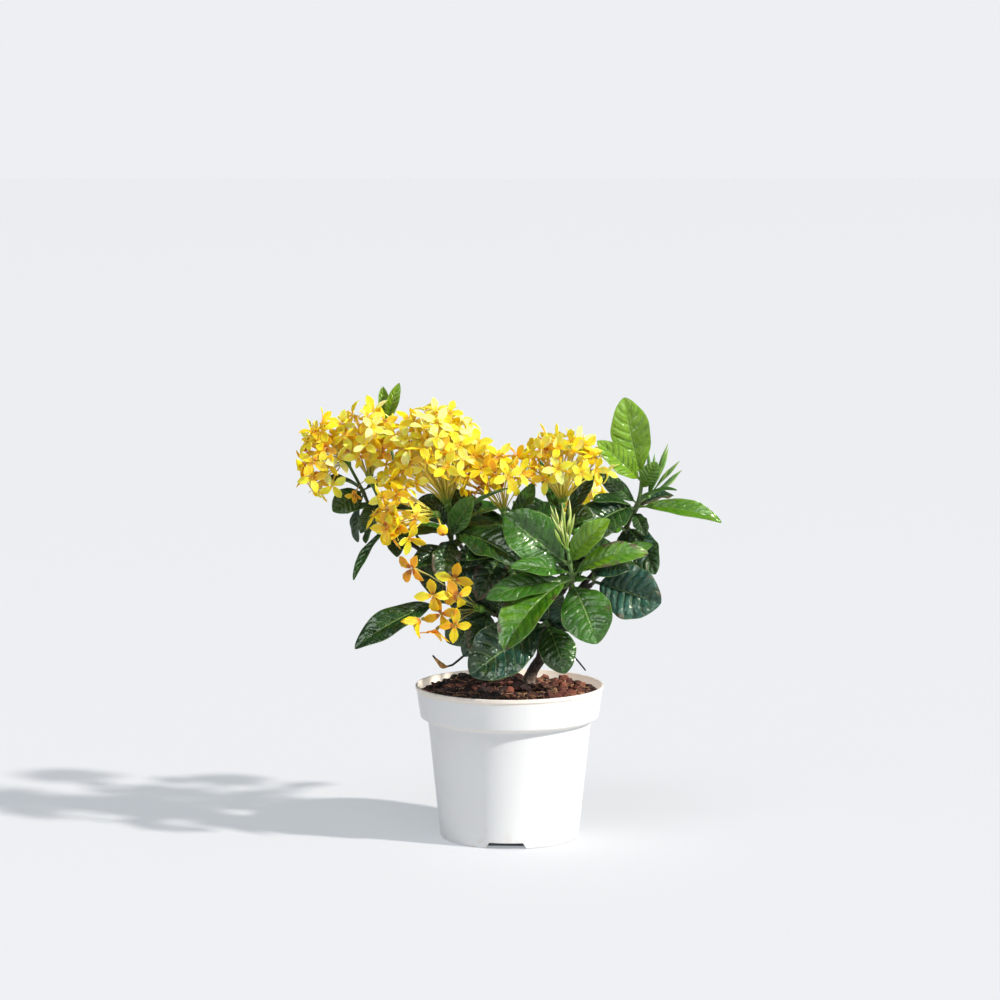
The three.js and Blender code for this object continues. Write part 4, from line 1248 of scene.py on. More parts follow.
deselect()
bpy.ops.mesh.primitive_grid_add(
    x_subdivisions=LEAF_GRID["across"], y_subdivisions=LEAF_GRID["along"], size=MM,
)
flat_leaf = bpy.context.object
flat_leaf.name = "flat_leaf"
for loop in flat_leaf.data.uv_layers.active.data:
    loop.uv[1] = eased(loop.uv[1])
for name in ("leaf upper", "leaf lower"):
    painted(flat_leaf, bpy.data.materials.new(name))
apply_modifier(flat_leaf, "SOLIDIFY", thickness=MM, offset=0, material_offset=1)
smooth_over(flat_leaf, 40)
print(f"flat leaf with {len(flat_leaf.data.polygons)} faces")

# %% Laying the leaf on its rib
VEINS = {"count": 8.5, "rake": 1.5, "bow": 1.25, "stagger": 0.3, "swell": 1.5, "young": 1.15, "fade": 0.85}
KEEL = {"groove": 0.3, "stands": 1.0, "width": 1.3}
STALK = {"radius": 1.15, "ends": 0.07, "blade": 0.17}
# the least and the most of each draw that gives a leaf its own form
LOOSE = {
    "ripple": (0.015, 0.045), "ripples": (2, 4), "wave": (0.05, 0.17), "waves": (1.2, 2.8),
    "fold": (0.7, 1.9), "flatten": (0.02, 0.16), "twist": (-0.34, 0.34), "bow": (-0.02, 0.02),
    "curl": (0.0, 0.10),
}


def blade_height(x, half, v, age, width, layer, look):
    """How far the blade's points stand out of the plane of its rib."""
    across, left = np.abs(x), x < 0
    row = v * VEINS["count"] - VEINS["rake"] * across ** VEINS["bow"] + VEINS["stagger"] * left
    blade_only = np.clip(8 * v * (1 - v), 0, 1) * (1 - across**6) * smooth_step(across, 0.0, 0.25)
    swell = VEINS["swell"] * np.abs(np.sin(np.pi * row)) ** 0.8 * blade_only * width / 24
    swell *= VEINS["young"] - VEINS["fade"] * age
    wave = look.uniform(*LOOSE["wave"])
    wave *= np.sin(2 * np.pi * (look.uniform(*LOOSE["waves"]) * v + look.random() + left * 0.4))
    cup = look.uniform(*LOOSE["fold"]) * LEAF["fold"] * across
    cup -= look.uniform(*LOOSE["flatten"]) * across**2
    near_rib = np.exp(-(x * half / KEEL["width"]) ** 2) * (1 - v) ** 0.6
    sheet = layer * LEAF["thickness"] / 2 - near_rib * np.where(layer > 0, KEEL["groove"], KEEL["stands"])
    return half * (cup + wave * across**2) + swell + sheet


def leaf_points(root, tip, width, crest, face, age, look):
    """The flat leaf's points laid on a rib. look is a seeded source of this leaf's own form."""
    flat = shape_of(flat_leaf)
    x = flat[:, 0] * 2
    u = eased(flat[:, 1] + 0.5)
    layer = flat[:, 2] * 2
    middle, side, normal = rib_frame(root, tip, crest, face, u)
    length = np.linalg.norm(tip - root)
    v = np.clip((u - LEAF["blade"]) / (1 - LEAF["blade"]), 0, 1)
    ripple = look.uniform(*LOOSE["ripple"])
    ripples = look.uniform(*LOOSE["ripples"]) * v + look.random() + (x < 0) / 3
    edge = 1 + ripple * np.sin(2 * np.pi * ripples)
    half = np.maximum(width / 2 * blade_shape(v) * edge, 0.5)
    blade_up = blade_height(x, half, v, age, width, layer, look)

    twist = look.uniform(*LOOSE["twist"]) * (u - 0.3)
    bow = look.uniform(*LOOSE["bow"]) * length * np.sin(np.pi * u)
    curl = look.uniform(*LOOSE["curl"]) * length * smooth_step(u, 0.66, 1.25)
    on_blade = smooth_step(u, STALK["ends"], STALK["blade"])
    stalk = STALK["radius"] * np.clip(width / 20, 0.7, 1.15)
    sideways = on_blade * x * half + (1 - on_blade) * np.sin(np.pi * x / 2) * stalk
    upwards = on_blade * blade_up + (1 - on_blade) * layer * np.cos(np.pi * x / 2) * stalk
    turned_side = sideways * np.cos(twist) - upwards * np.sin(twist) + bow
    turned_up = sideways * np.sin(twist) + upwards * np.cos(twist) - curl
    return middle + side * turned_side[:, None] + normal * turned_up[:, None]


print(f"{VEINS['count']} side veins to a blade, and {len(LOOSE)} draws to its form")

# %% [markdown]
# ## Leaf materials
# The upper face is glossy and its colour follows the leaf's age, from blue-green to lime, with
# a pale midrib, paler side veins, a thin pale margin and a few brown spots on worn leaves; below
# age 0 a pale blue-green is a painted sheen. Painted shade darkens both faces in the sunken vein
# grooves and in the hollows of the dents. The lower face is duller and paler. Both read the
# leaf's own UV map, across and along the blade, so the veins of the colour run along the veins of
# the mesh.

# %% Leaf upper and lower face
# the blade's colour at each age; the pale blue-green stop below 0 is a painted sheen
AGES_ABOVE = [
    (-0.2, (0.030, 0.118, 0.088)), (0.0, (0.008, 0.045, 0.030)), (0.12, (0.009, 0.036, 0.007)),
    (0.3, (0.014, 0.060, 0.006)), (0.58, (0.032, 0.140, 0.004)), (0.8, (0.098, 0.230, 0.006)),
    (1.0, (0.170, 0.330, 0.005)),
]
AGES_BELOW = [
    (0.0, (0.035, 0.085, 0.045)), (0.3, (0.045, 0.105, 0.028)), (0.58, (0.085, 0.20, 0.032)),
    (0.8, (0.15, 0.29, 0.045)), (1.0, (0.20, 0.38, 0.035)),
]
AGE_START, AGE_SPAN = -0.2, 1.2     # a ramp runs from 0 to 1, and the ages from -0.2 to 1
VEIN_PALE = (0.30, 0.44, 0.13)
WORN = (0.075, 0.045, 0.022)
LEAF_SKIN = {
    "roughness": 0.3, "specular_tint": (0.92, 1.0, 0.78, 1), "subsurface_weight": 0.2,
    "subsurface_radius": (0.35, 0.8, 0.12), "subsurface_scale": 0.0012,
}


def leaf_material(name, ages, upper):
    """One face of the leaf. The tag holds the leaf's age, a draw of its own, and its wear."""
    shade = Shade(name, specular_ior_level=0.65 if upper else 0.4, **LEAF_SKIN)
    uv = shade.uv()
    tag = shade.tag("tag")
    place = shade.place()
    age, seed, wear = tag.part(0), tag.part(1), tag.part(2)
    sideways = uv.part(0) * 2 - 1
    across = abs(sideways)
    v = (uv.part(1) - LEAF["blade"]) / (1 - LEAF["blade"])
    left = shade.math("LESS_THAN", sideways, 0)
    row = v * VEINS["count"] - VEINS["rake"] * across ** VEINS["bow"] + left * VEINS["stagger"]
    beside = abs(shade.math("FRACT", row) - 0.5) * 2

    broad = shade.noise(place, 42, 3)
    dents = shade.noise(place, 125, 2)
    fine = shade.noise(place, 420, 3)
    blade = shade.smooth(across, 1.0, 0.75) * shade.smooth(v, 0.98, 0.8)
    vein = shade.smooth(beside, 0.82, 0.98) * blade * shade.smooth(broad, 0.3, 0.6)
    valley = shade.smooth(beside, 0.35, 1.0) * blade
    rib = shade.smooth(across, 0.07 - 0.04 * v, 0.02) * shade.smooth(v, 1.0, 0.7)
    margin = shade.smooth(across, 0.955, 0.99)
    stalk = shade.smooth(v, 0.05, -0.02)
    net = shade.cells(shade.stretched(uv, (5, 16, 1)), 3.2, "DISTANCE_TO_EDGE")
    web = shade.smooth(net, 0.09, 0.0)

    # Painted shade: the tone is darker where the dents dip and in the sunken vein grooves, which the relief
    # below also sinks.
    tone = age + (broad - 0.5) * 0.62 + (dents - 0.5) * 0.3 + (seed - 0.5) * 0.1
    tone = tone - valley * 0.14 * age
    stops = [((stop - AGE_START) / AGE_SPAN, color) for stop, color in ages]
    color = shade.ramp((tone - AGE_START) / AGE_SPAN, *stops)
    pale = shade.mix(0.55, color, VEIN_PALE)
    veined = 0.48 - age * 0.34 if upper else 0.55
    lines = shade.math("MAXIMUM", vein * veined, web * 0.08)
    lines = shade.math("MAXIMUM", lines, shade.math("MAXIMUM", rib * 0.85, margin * 0.6))
    lines = shade.math("MAXIMUM", lines, stalk * 0.8)
    color = shade.mix(lines, color, pale)
    spots = shade.smooth(shade.noise(place, 95, 4, 0.6) + wear * 0.34, 0.74, 0.82)
    near_edge = shade.smooth(across + shade.smooth(v, 0.7, 1.0) * 0.5, 0.55, 1.0)
    color = shade.mix(spots * near_edge * shade.smooth(wear, 0.05, 0.3), color, WORN)
    height = dents * 3.2 - valley * (0.45 + seed * 0.6) - rib * 0.8 - web * 0.15 + fine * 0.2
    shade.relief(height if upper else 1.2 - height, 0.5)
    rough = (0.07 + broad * 0.12) if upper else (0.5 + broad * 0.15)
    return shade.paint(base_color=color, roughness=rough + spots * 0.3)


above = leaf_material("glossy leaf face", AGES_ABOVE, True)
below = leaf_material("dull leaf underside", AGES_BELOW, False)
for slot, material in enumerate((above, below)):
    flat_leaf.data.materials[slot] = material
print("leaf materials with", len(above.node_tree.nodes), "nodes")


# %% Green stems
def stem_material():
    """Brown and corky near the limb, green where the shoot is young."""
    shade = Shade("young stem", roughness=0.55)
    place = shade.place()
    grain = shade.noise(shade.stretched(place, (500, 500, 160)), 1, 4)
    share = shade.tag("tag").part(2) + (grain - 0.5) * 0.35
    color = shade.ramp(share, (0.1, (0.05, 0.035, 0.022)), (0.45, (0.075, 0.085, 0.03)),
                       (0.9, (0.11, 0.22, 0.045)))
    shade.relief(grain, 0.3)
    return shade.paint(base_color=color, roughness=0.5 + grain * 0.25)


stem_paint = stem_material()
print("stem material ready")


# %% Growing a leaf and a stem
WORN_MOST = {("front", 0): 0.8, ("front", 1): 0.45, ("front", 2): 0.6}
NODE = {"swell": 0.35, "long": 0.05}     # how a stem swells where a leaf sits
TOP_RADIUS = {"stem": 1.25, "stalk": 1.0}


def grow_leaf(name, number, along, tip, width, crest, face, age):
    """One leaf on its stem, turned as its solid is, or None if the solid left it out."""
    root = stems[name].along(along)

    def corners(end):
        return solid_corners(root, end, width, crest, face)

    end = standing_end(f"shoot_{name}", root, np.array(tip, float), corners)
    if end is None:
        return None
    look = np.random.default_rng([SHOOTS[name][2], number])
    points = leaf_points(root, end, width, crest, face, age, look)
    seed, worn = look.random(), look.random() ** 7
    return copy_of(flat_leaf, points, (age, seed, WORN_MOST.get((name, number), worn)))


def stem_of(name, start, end):
    """A stem or stalk that swells a little where leaves sit."""
    ring = np.linspace(0, 1, RODS["stem"][1] + 1)
    radii = start + (end - start) * ring
    if name in SHOOTS:
        for leaf in SHOOTS[name][5]:
            radii = radii + NODE["swell"] * np.exp(-((ring - leaf[0]) / NODE["long"]) ** 2)
    return painted(laid_along("stem", stems[name], radii), stem_paint)


print(f"{len(WORN_MOST)} leaves are worn the most")

# %% Growing every shoot
count = 0
for name, (limb, _, _, _, _, leaves) in SHOOTS.items():
    grown = [stem_of(name, (LIMBS[limb][2] - 0.1) * ROUND, TOP_RADIUS["stem"])]
    for stalk, (shoot, _, radius) in STALKS.items():
        if shoot == name:
            grown.append(stem_of(stalk, radius, TOP_RADIUS["stalk"]))
    for number, leaf in enumerate(list(leaves) + pair_leaves(name)):
        grown.append(grow_leaf(name, number, *leaf))
    grown = [piece for piece in grown if piece]
    count += len(grown)
    dress(join(f"leaves_{name}", grown), "leaf", f"shoot_{name}")
print(f"{count} stems and leaves")

# %% [markdown]
# ## A floret
# Each floret has four broad pointed petals that open flat from a slim tube, with a small dark
# throat and a yellow style standing out of it. One star is modelled from a petal drawn row by
# row, turned three times by a quarter. Every copy then bends each of its petals by its own
# draw, as petals of one head open at different times.

# %% One petal, turned into a star
PETAL_ROWS = [
    # distance from the heart, half width, height, in mm
    (0.9, 0.8, -0.5),
    (3.6, 2.2, 0.0),
    (7.2, 3.4, 0.1),
    (10.5, 2.5, 0.0),
    (13.2, 0.2, -0.3),
]
PETAL = {"crease": 0.35, "thickness": 0.34}
CLEAR = 100              # mm by which done rows are set aside, out of the way of the next ones

deselect()
bpy.ops.mesh.primitive_grid_add(x_subdivisions=2, y_subdivisions=len(PETAL_ROWS) - 1, size=MM)
star = bpy.context.object
star.name = "star"
edit(True)
for row, (reach, half, height) in enumerate(PETAL_ROWS):
    level = -0.5 + row / (len(PETAL_ROWS) - 1)
    select_edges(star, lambda x, y, z: abs(y - level) < 0.01 and abs(x) < 0.51 and z == 0)
    bpy.ops.transform.resize(value=(2 * half, 1, 1), center_override=(0, 0, 0))
    bpy.ops.transform.translate(value=(0, (reach + CLEAR - level) * MM, height * MM))
bpy.ops.mesh.select_all(action="SELECT")
bpy.ops.transform.translate(value=(0, -CLEAR * MM, 0))
select_edges(star, lambda x, y, z: abs(x) < 0.01 and 1 < y < 12)
bpy.ops.transform.translate(value=(0, 0, -PETAL["crease"] * MM))
print("one petal drawn")

# %% Four petals make a star
for quarter in (1, 2, 3):
    bpy.ops.mesh.select_all(action="DESELECT")
    edit(False)
    for polygon in star.data.polygons[: 2 * (len(PETAL_ROWS) - 1)]:
        polygon.select = True
    edit(True)
    bpy.ops.mesh.select_mode(type="FACE")
    bpy.ops.mesh.duplicate()
    bpy.ops.transform.rotate(
        value=math.radians(90 * quarter), orient_axis="Z", center_override=(0, 0, 0),
    )
edit(False)
apply_modifier(star, "SOLIDIFY", thickness=PETAL["thickness"] * MM, offset=0)
smooth_over(star, 45)
print(f"star with {len(star.data.polygons)} faces")

# %% Petal, tube and bud materials
# from lemon to orange, and brown where a floret has withered
PETAL_COLORS = [
    (0.0, (1.0, 0.87, 0.27)), (0.14, (1.0, 0.80, 0.085)), (0.3, (1.0, 0.69, 0.014)),
    (0.6, (0.97, 0.49, 0.004)), (0.92, (0.80, 0.30, 0.004)), (1.0, (0.38, 0.13, 0.012)),
]
TUBE_COLORS = [
    (0.0, (0.30, 0.36, 0.035)), (0.25, (0.60, 0.54, 0.07)),
    (0.7, (0.88, 0.72, 0.13)), (1.0, (0.92, 0.68, 0.07)),
]
# the dark olive of painted shadow on a tube
SHADED_TUBE = (0.10, 0.11, 0.02)
BUD_COLORS = [
    (0.0, (0.045, 0.14, 0.025)), (0.4, (0.12, 0.29, 0.035)),
    (0.75, (0.36, 0.50, 0.09)), (1.0, (0.66, 0.70, 0.26)),
]


def petal_material():
    """Satin petals: pale lemon where they spread, deeper towards the throat, and warmer when old.
    Their warmth tag also carries painted shade and sunlight, and their rims are painted paler as
    light glowing through them.
    """
    shade = Shade("yellow petal", roughness=0.5, specular_ior_level=0.32, subsurface_weight=0.8,
                  subsurface_radius=(1.0, 0.5, 0.04), subsurface_scale=0.003)
    uv = shade.uv()
    tag = shade.tag("tag")
    place = shade.place()
    across = abs(uv.part(0) * 2 - 1)
    out = uv.part(1)
    stripes = shade.noise(shade.stretched(uv, (14, 1.6, 1)), 1, 2)
    mottle = shade.noise(place, 150, 3)
    # the warmth tag carries the heads' painted shade and sunlight as well as age
    warm = tag.part(0) + (tag.part(2) - 0.5) * 0.5 + (mottle - 0.5) * 0.3
    warm = warm + shade.smooth(out, 0.4, 0.0) * 0.45 + (stripes - 0.5) * 0.2
    # Painted light: the petals are paler towards their rims, as if light glowed through the thin edge.
    warm = warm - shade.smooth(across, 0.55, 1.0) * 0.14
    color = shade.ramp(warm + 0.1, *PETAL_COLORS)
    rib = shade.smooth(across, 0.16, 0.0)
    shade.relief(stripes * 0.8 - rib * 0.6, 0.25)
    return shade.paint(base_color=color, roughness=0.42 + mottle * 0.2)


def tube_material():
    """Floret tubes and styles: yellow-green at the foot, pale yellow towards the star, and darkened
    by painted shadow where a floret's form asks.
    """
    shade = Shade("floret tube", roughness=0.5, subsurface_weight=0.3, subsurface_scale=0.001)
    tag = shade.tag("tag")
    share = tag.part(2) + (shade.noise(shade.place(), 200, 2) - 0.5) * 0.3
    color = shade.ramp(share, *TUBE_COLORS)
    # Painted shadow: the tag's first number darkens the tube towards dark olive.
    return shade.paint(base_color=shade.mix(tag.part(0), color, SHADED_TUBE))


def bud_material():
    """Green buds whose folded petals show as paler tips."""
    shade = Shade("green bud", roughness=0.4, subsurface_weight=0.25, subsurface_scale=0.001)
    tag = shade.tag("tag")
    grain = shade.noise(shade.stretched(shade.place(), (300, 300, 120)), 1, 3)
    tone = tag.part(0) + shade.smooth(tag.part(2), 0.55, 1.0) * 0.28 + (grain - 0.5) * 0.3
    color = shade.ramp(tone, *BUD_COLORS)
    shade.relief(grain, 0.2)
    return shade.paint(base_color=color)


petal_paint = petal_material()
tube_paint = tube_material()
bud_paint = bud_material()
painted(star, petal_paint)
print("petal, tube and bud materials ready")

# %% [markdown]
# ## The flower heads
# A head's tubes meet in a small green knot on the stalk, and its florets cover a dome, each
# turned on from the last by the golden angle, as they grow. The solids hold some of the
# florets. Here the gaps between them are filled from the same rule with another seed, as long
# as a new heart keeps its distance from all the others. A few florets stand outside the rule,
# and those of the oldest head, low on the left, hang one by one.

# %% Domes and knots
HEADS = {
    # name: stalk, dome's middle, half sizes, florets, seed, more florets, warmth
    "far_left": ("far_left", [-148, -16, 304], [15, 21, 31], 11, 31, 11, 0.30),
    "left": ("left", [-112, -16, 318], [25, 26, 27], 14, 32, 20, 0.12),
    "main": ("main", [-58, -40, 309], [37, 34, 37], 21, 33, 42, 0.11),
    "front_left": ("front_left", [-86, -66, 268], [19, 14, 25], 9, 34, 13, 0.28),
    "centre": ("centre", [-12, -50, 294], [28, 20, 20], 10, 35, 16, 0.28),
    "right": ("right", [42, -34, 305], [30, 26, 19], 15, 36, 18, 0.14),
    "low": ("low_left", [-52, -80, 197], [15, 10, 30], 8, 37, 0, 0.50),
    "back_left": ("back_left", [-50, 70, 290], [32, 28, 24], 10, 38, 14, 0.2),
    "back_right": ("back_right", [56, 74, 262], [25, 22, 18], 7, 39, 10, 0.2),
}
SPREAD = {"reach": 1.32, "twist": 0.5, "inner": 0.78, "outward": 0.8, "lean": [0, -0.25, 0.25],
          "small": 0.9, "spare": 0.16}
FLORET = {"radius": 13.2, "droop": 1.6, "apart": 9.6, "sunk": 3.4}
# the fillers' layers as shares of the dome, what is added to the head's seed, and their size
FILLERS = {"layers": (1.0, 0.86, 0.7), "seed": 50, "size": 0.94}
KNOT = {"middle": 5, "height": 9, "seated": 0.2}
print(f"{len(HEADS)} domes for {sum(head[3] + head[5] for head in HEADS.values())} florets")

# %% Florets of their own kind
# how far petals close, how unevenly, how far a floret strays, its tube's thickness, and how much painted
# shadow darkens its tube
FRESH = {"closed": 0.22, "uneven": 0.34, "stray": 0.42, "tube": 1.0, "shade": 0.0}
FLAT = {"closed": 0.04, "uneven": 0.1, "stray": 0.1, "tube": 0.6, "shade": 0.55}
FADED = {"closed": 0.95, "uneven": 0.2, "stray": 0.3, "tube": 0.6, "shade": 0.7}
# Painted shade and sunlight: florets deep in a head are warmer, and those on the sunny right and on top
# paler.
PAINTED_DEEP_SHADE = 0.9             # how much warmer a floret is deep in its head
PAINTED_SUNLIGHT = np.array([0.08, 0, 0.14])     # how much paler on the sunny side and on top
# The low head's flat florets are a deeper gold as painted shade, for the head hangs in the leaves' shadow;
# its faded florets are warmer from age.
# the low head's florets, by number: form, how far each has sunk in mm, facing, and warmth
LOW_HEAD = {
    0: (FLAT, [0, 1, -7], [-0.12, -1, 0.12], 0.5),
    1: (FADED, [-3, 0, -12], [-0.6, -0.4, -0.8], 0.75),
    2: (FLAT, [-2, 6, -2], [-0.3, -0.9, -0.2], 0.6),
    3: (FLAT, [11, 1, -6], [0.15, -1, 0.25], 0.46),
    4: (FADED, [0, 2, 3], [-0.2, -0.5, -0.8], 0.72),
    5: (FLAT, [0, 0, 0], [0.1, -1, 0.05], 0.52),
    6: (FADED, [-12, -7, 18], [-0.5, -0.7, 0.1], 0.75),
    7: (FLAT, [1, -2, 11], [0.05, -1, -0.08], 0.46),
}
LOW_SIZE = 1.12          # the low head's florets, set against those of its solid
# florets outside the rule: head, heart, facing, size, form, warmth
LONE_FLORETS = [
    ("left", [-121, -36, 278], [-0.5, -0.5, -0.7], 0.62, FADED, 1.0),
    ("left", [-96, -34, 301], [0.1, -1, 0.3], 1.0, FRESH, 0.15),
    ("left", [-103, -38, 288], [-0.1, -1, 0.0], 0.98, FRESH, 0.2),
    ("left", [-89, -38, 290], [0.2, -1, 0.2], 0.95, FRESH, 0.22),
    ("main", [-80, -62, 301], [-0.3, -1, 0.2], 1.0, FRESH, 0.15),
    ("right", [28, -56, 292], [-0.2, -1, 0.1], 1.0, FRESH, 0.16),
]
# a closed bud: head, middle, radius, warmth
CLOSED_BUD = ("front_left", [-52, -72, 254], 4.4, 0.34)
print(f"{len(LOW_HEAD)} florets hang one by one, and {len(LONE_FLORETS)} stand alone")

# %% The rule that places florets on a dome
GOLDEN = math.pi * (3 - math.sqrt(5))


def knot_of(stalk, scale=1):
    """The foot of the knot on a stalk, its direction, and its middle, where the tubes meet."""
    along = stems[stalk].end_direction()
    foot = stems[stalk].along(1) + along * SEAT
    return foot, along, foot + along * KNOT["middle"] * scale


def grown_knot(stalk, radii, tone, scale=1):
    """The small green knot on a stalk."""
    foot, along, _ = knot_of(stalk, scale)
    steps = RODS["stem"][1]
    rise = KNOT["height"] * scale / steps
    route = [foot + along * (rise * step - KNOT["seated"]) for step in range(steps + 1)]
    return painted(laid_along("stem", route, radii, (tone, 0, 0)), bud_paint)


def turned_to(axis, rays):
    """Rays given round +Z, turned the shortest way to an axis."""
    turn = Vector((0, 0, 1)).rotation_difference(Vector(axis)).to_matrix()
    return np.array([turn @ Vector(ray) for ray in rays])


def dome_florets(base, dome, half, florets, seed):
    """Heart, facing, roll and size of florets all over a dome, from its top down."""
    draw = draws(seed)
    rows = []
    for i in range(florets):
        height = 1 - SPREAD["reach"] * (i + 0.5) / florets
        turn = GOLDEN * i + SPREAD["twist"] * draw()
        ring = math.sqrt(max(0, 1 - height * height))
        ray = turned_to(unit(dome - base), [[ring * math.cos(turn), ring * math.sin(turn), height]])[0]
        depth = SPREAD["inner"] + (1 - SPREAD["inner"]) * draw()
        heart = dome + ray * half * depth
        facing = ray * SPREAD["outward"] + SPREAD["lean"]
        rows.append((heart, facing, draw() * math.pi, SPREAD["small"] + SPREAD["spare"] * draw()))
    return rows


def face_axes(facing):
    """The directions to the right, up and out of a floret that faces some way."""
    out = unit(np.array(facing, float))
    level = np.array([1.0, 0, 0]) if abs(out[2]) > 0.9 else np.array([0, 0, 1.0])
    right = unit(np.cross(level, out))
    return right, np.cross(out, right), out


def petal_tips(heart, facing, roll, size):
    """The four petal tips of the floret's solid."""
    right, up, out = face_axes(facing)
    reach = FLORET["radius"] * size
    turns = [roll + k * math.pi / 2 for k in range(4)]
    return [heart + reach * (right * math.cos(t) + up * math.sin(t)) - out * FLORET["droop"] for t in turns]


print(f"a tube turns {math.degrees(GOLDEN):.1f} degrees on from the last")


# %% A floret in bloom
# how much each petal's tilt, curl and twist vary, and how deep it may be cupped
VARIED = {"tilt": 0.15, "curl": (-0.14, 0.3), "cup": 0.055, "twist": 0.34, "warmth": 0.09}


def star_points(heart, facing, roll, size, look, openness):
    """The star's points, each petal tilted, curled, cupped and twisted by its own draw."""
    flat = shape_of(star)
    angle = np.arctan2(flat[:, 1], flat[:, 0])
    petal = np.rint(angle / (math.pi / 2)).astype(int) % 4
    reach = np.hypot(flat[:, 0], flat[:, 1])
    off = angle - petal * math.pi / 2
    along, beside = reach * np.cos(off), reach * np.sin(off)
    share = along / FLORET["radius"]
    tilt = openness + look.normal(0, VARIED["tilt"], 4)[petal]
    lean = tilt + look.normal(*VARIED["curl"], 4)[petal] * share
    cup = look.uniform(0.0, VARIED["cup"], 4)[petal]
    twist = look.normal(0, VARIED["twist"], 4)[petal]
    lifted = flat[:, 2] + cup * beside**2 + twist * beside * share
    out = along * np.cos(lean) - lifted * np.sin(lean)
    height = along * np.sin(lean) + lifted * np.cos(lean)
    turn = petal * math.pi / 2 + roll
    x = (out * np.cos(turn) - beside * np.sin(turn)) * size
    y = (out * np.sin(turn) + beside * np.cos(turn)) * size
    right, up, forward = face_axes(facing)
    points = heart + x[:, None] * right + y[:, None] * up + (height * size)[:, None] * forward
    return points, look.random(4)[petal]


def curve_between(start, leave, end, arrive, steps):
    """Points on a cubic curve that leaves and arrives in given directions."""
    reach = np.linalg.norm(end - start) * 0.36
    bends = start, start + leave * reach, end - arrive * reach, end
    route = []
    for t in np.linspace(0, 1, steps + 1):
        a, b, c, d = (1 - t) ** 3, 3 * (1 - t) ** 2 * t, 3 * (1 - t) * t**2, t**3
        route.append(a * bends[0] + b * bends[1] + c * bends[2] + d * bends[3])
    return np.array(route)


print("a star can be bent petal by petal")

# %% Its tube, calyx and style
TUBE = {"radii": (0.5, 0.5, 0.6, 0.75), "throat": 1.45, "below": 0.9}
CALYX = {"shares": (0, 0.15, 0.3, 0.45, 0.55), "radii": (0.8, 1.0, 1.0, 0.9, 0.5), "tone": 0.45}
STYLE = {"heights": (-0.8, 0.6, 1.8, 2.8, 3.6), "radii": (0.3, 0.25, 0.25, 0.5, 0.3)}


def floret(base, axis, heart, facing, roll, size, warmth, look, form):
    """Star, tube, calyx and style of one floret."""
    facing = unit(np.array(facing)) + look.normal(0, form["stray"], 3)
    out = face_axes(facing)[2]
    openness = look.normal(form["closed"], form["uneven"])
    points, petal_draw = star_points(heart, facing, roll, size, look, openness)
    warm = warmth + look.normal(0, VARIED["warmth"])
    tags = np.column_stack([np.full(len(points), warm), np.full(len(points), look.random()), petal_draw])
    away = unit(heart - base)
    start = base + away * FLORET["sunk"] * 0.5
    neck = heart - out * TUBE["below"]
    leave, arrive = unit(away * 0.6 + axis * 0.4), unit(away * 0.55 + out * 0.45)
    route = curve_between(start, leave, neck, arrive, RODS["tube"][1])
    radii = [radius * form["tube"] for radius in TUBE["radii"]] + [TUBE["throat"]]
    calyx = [start + (route[1] - start) * share for share in CALYX["shares"]]
    style = [heart + out * height for height in STYLE["heights"]]
    return [
        copy_of(star, points, tags),
        painted(laid_along("tube", route, radii, (form["shade"], 0, 0)), tube_paint),
        painted(laid_along("fibre", calyx, CALYX["radii"], (CALYX["tone"], 0, 0)), bud_paint),
        painted(laid_along("fibre", style, STYLE["radii"]), tube_paint),
    ]


def closed_bud(base, heart, radius, warmth):
    """A fat bud about to open, on its tube."""
    shares = np.linspace(-1, 1, RODS["stem"][1] + 1)
    ball = heart + np.outer(shares * radius, unit(heart - base))
    round_off = radius * np.sqrt(np.maximum(0.01, 1 - shares**2))
    return [
        painted(laid_along("stem", ball, round_off, (warmth, 0.5, 0)), petal_paint),
        painted(laid_along("tube", Path([base, heart]), [0.6, 0.7, 0.8]), tube_paint),
    ]


print("a floret is a star, a tube, a calyx and a style")


# %% Florets where the solids have them, and more between them
def dome_of(name):
    """A head's dome: where its tubes meet, its middle and its half sizes."""
    stalk, dome, half = HEADS[name][:3]
    return knot_of(stalk)[2], np.array(dome, float), np.array(half, float)


def standing_florets(name):
    """Heart, facing, roll and size of the florets that a head's solid holds."""
    base, dome, half = dome_of(name)
    standing = []
    for heart, facing, roll, size in dome_florets(base, dome, half, *HEADS[name][3:5]):
        def corners(end):
            return petal_tips(end, facing, roll, size)

        end = standing_end(f"head_{name}", base, heart, corners)
        if end is not None:
            standing.append((end, facing, roll, size))
    return standing


def fillers(name):
    """More florets in the gaps of a head, layer by layer inwards."""
    base, dome, half = dome_of(name)
    seed, more = HEADS[name][4:6]
    found = []
    for layer, shrink in enumerate(FILLERS["layers"]):
        seed_here = seed + FILLERS["seed"] + layer
        for heart, facing, roll, size in dome_florets(base, dome, half * shrink, 3 * more, seed_here):
            room = all(np.linalg.norm(heart - other) > FLORET["apart"] for other in hearts)
            if len(found) < more and room:
                found.append((heart, facing, roll, size * FILLERS["size"]))
                hearts.append(heart)
    return found


placed = {name: standing_florets(name) for name in HEADS}
hearts = [heart for standing in placed.values() for heart, *_ in standing]
for name, standing in placed.items():
    more = fillers(name)
    print(f"{name}: {len(standing)} florets of {HEADS[name][3]}, and {len(more)} more")
    standing += more

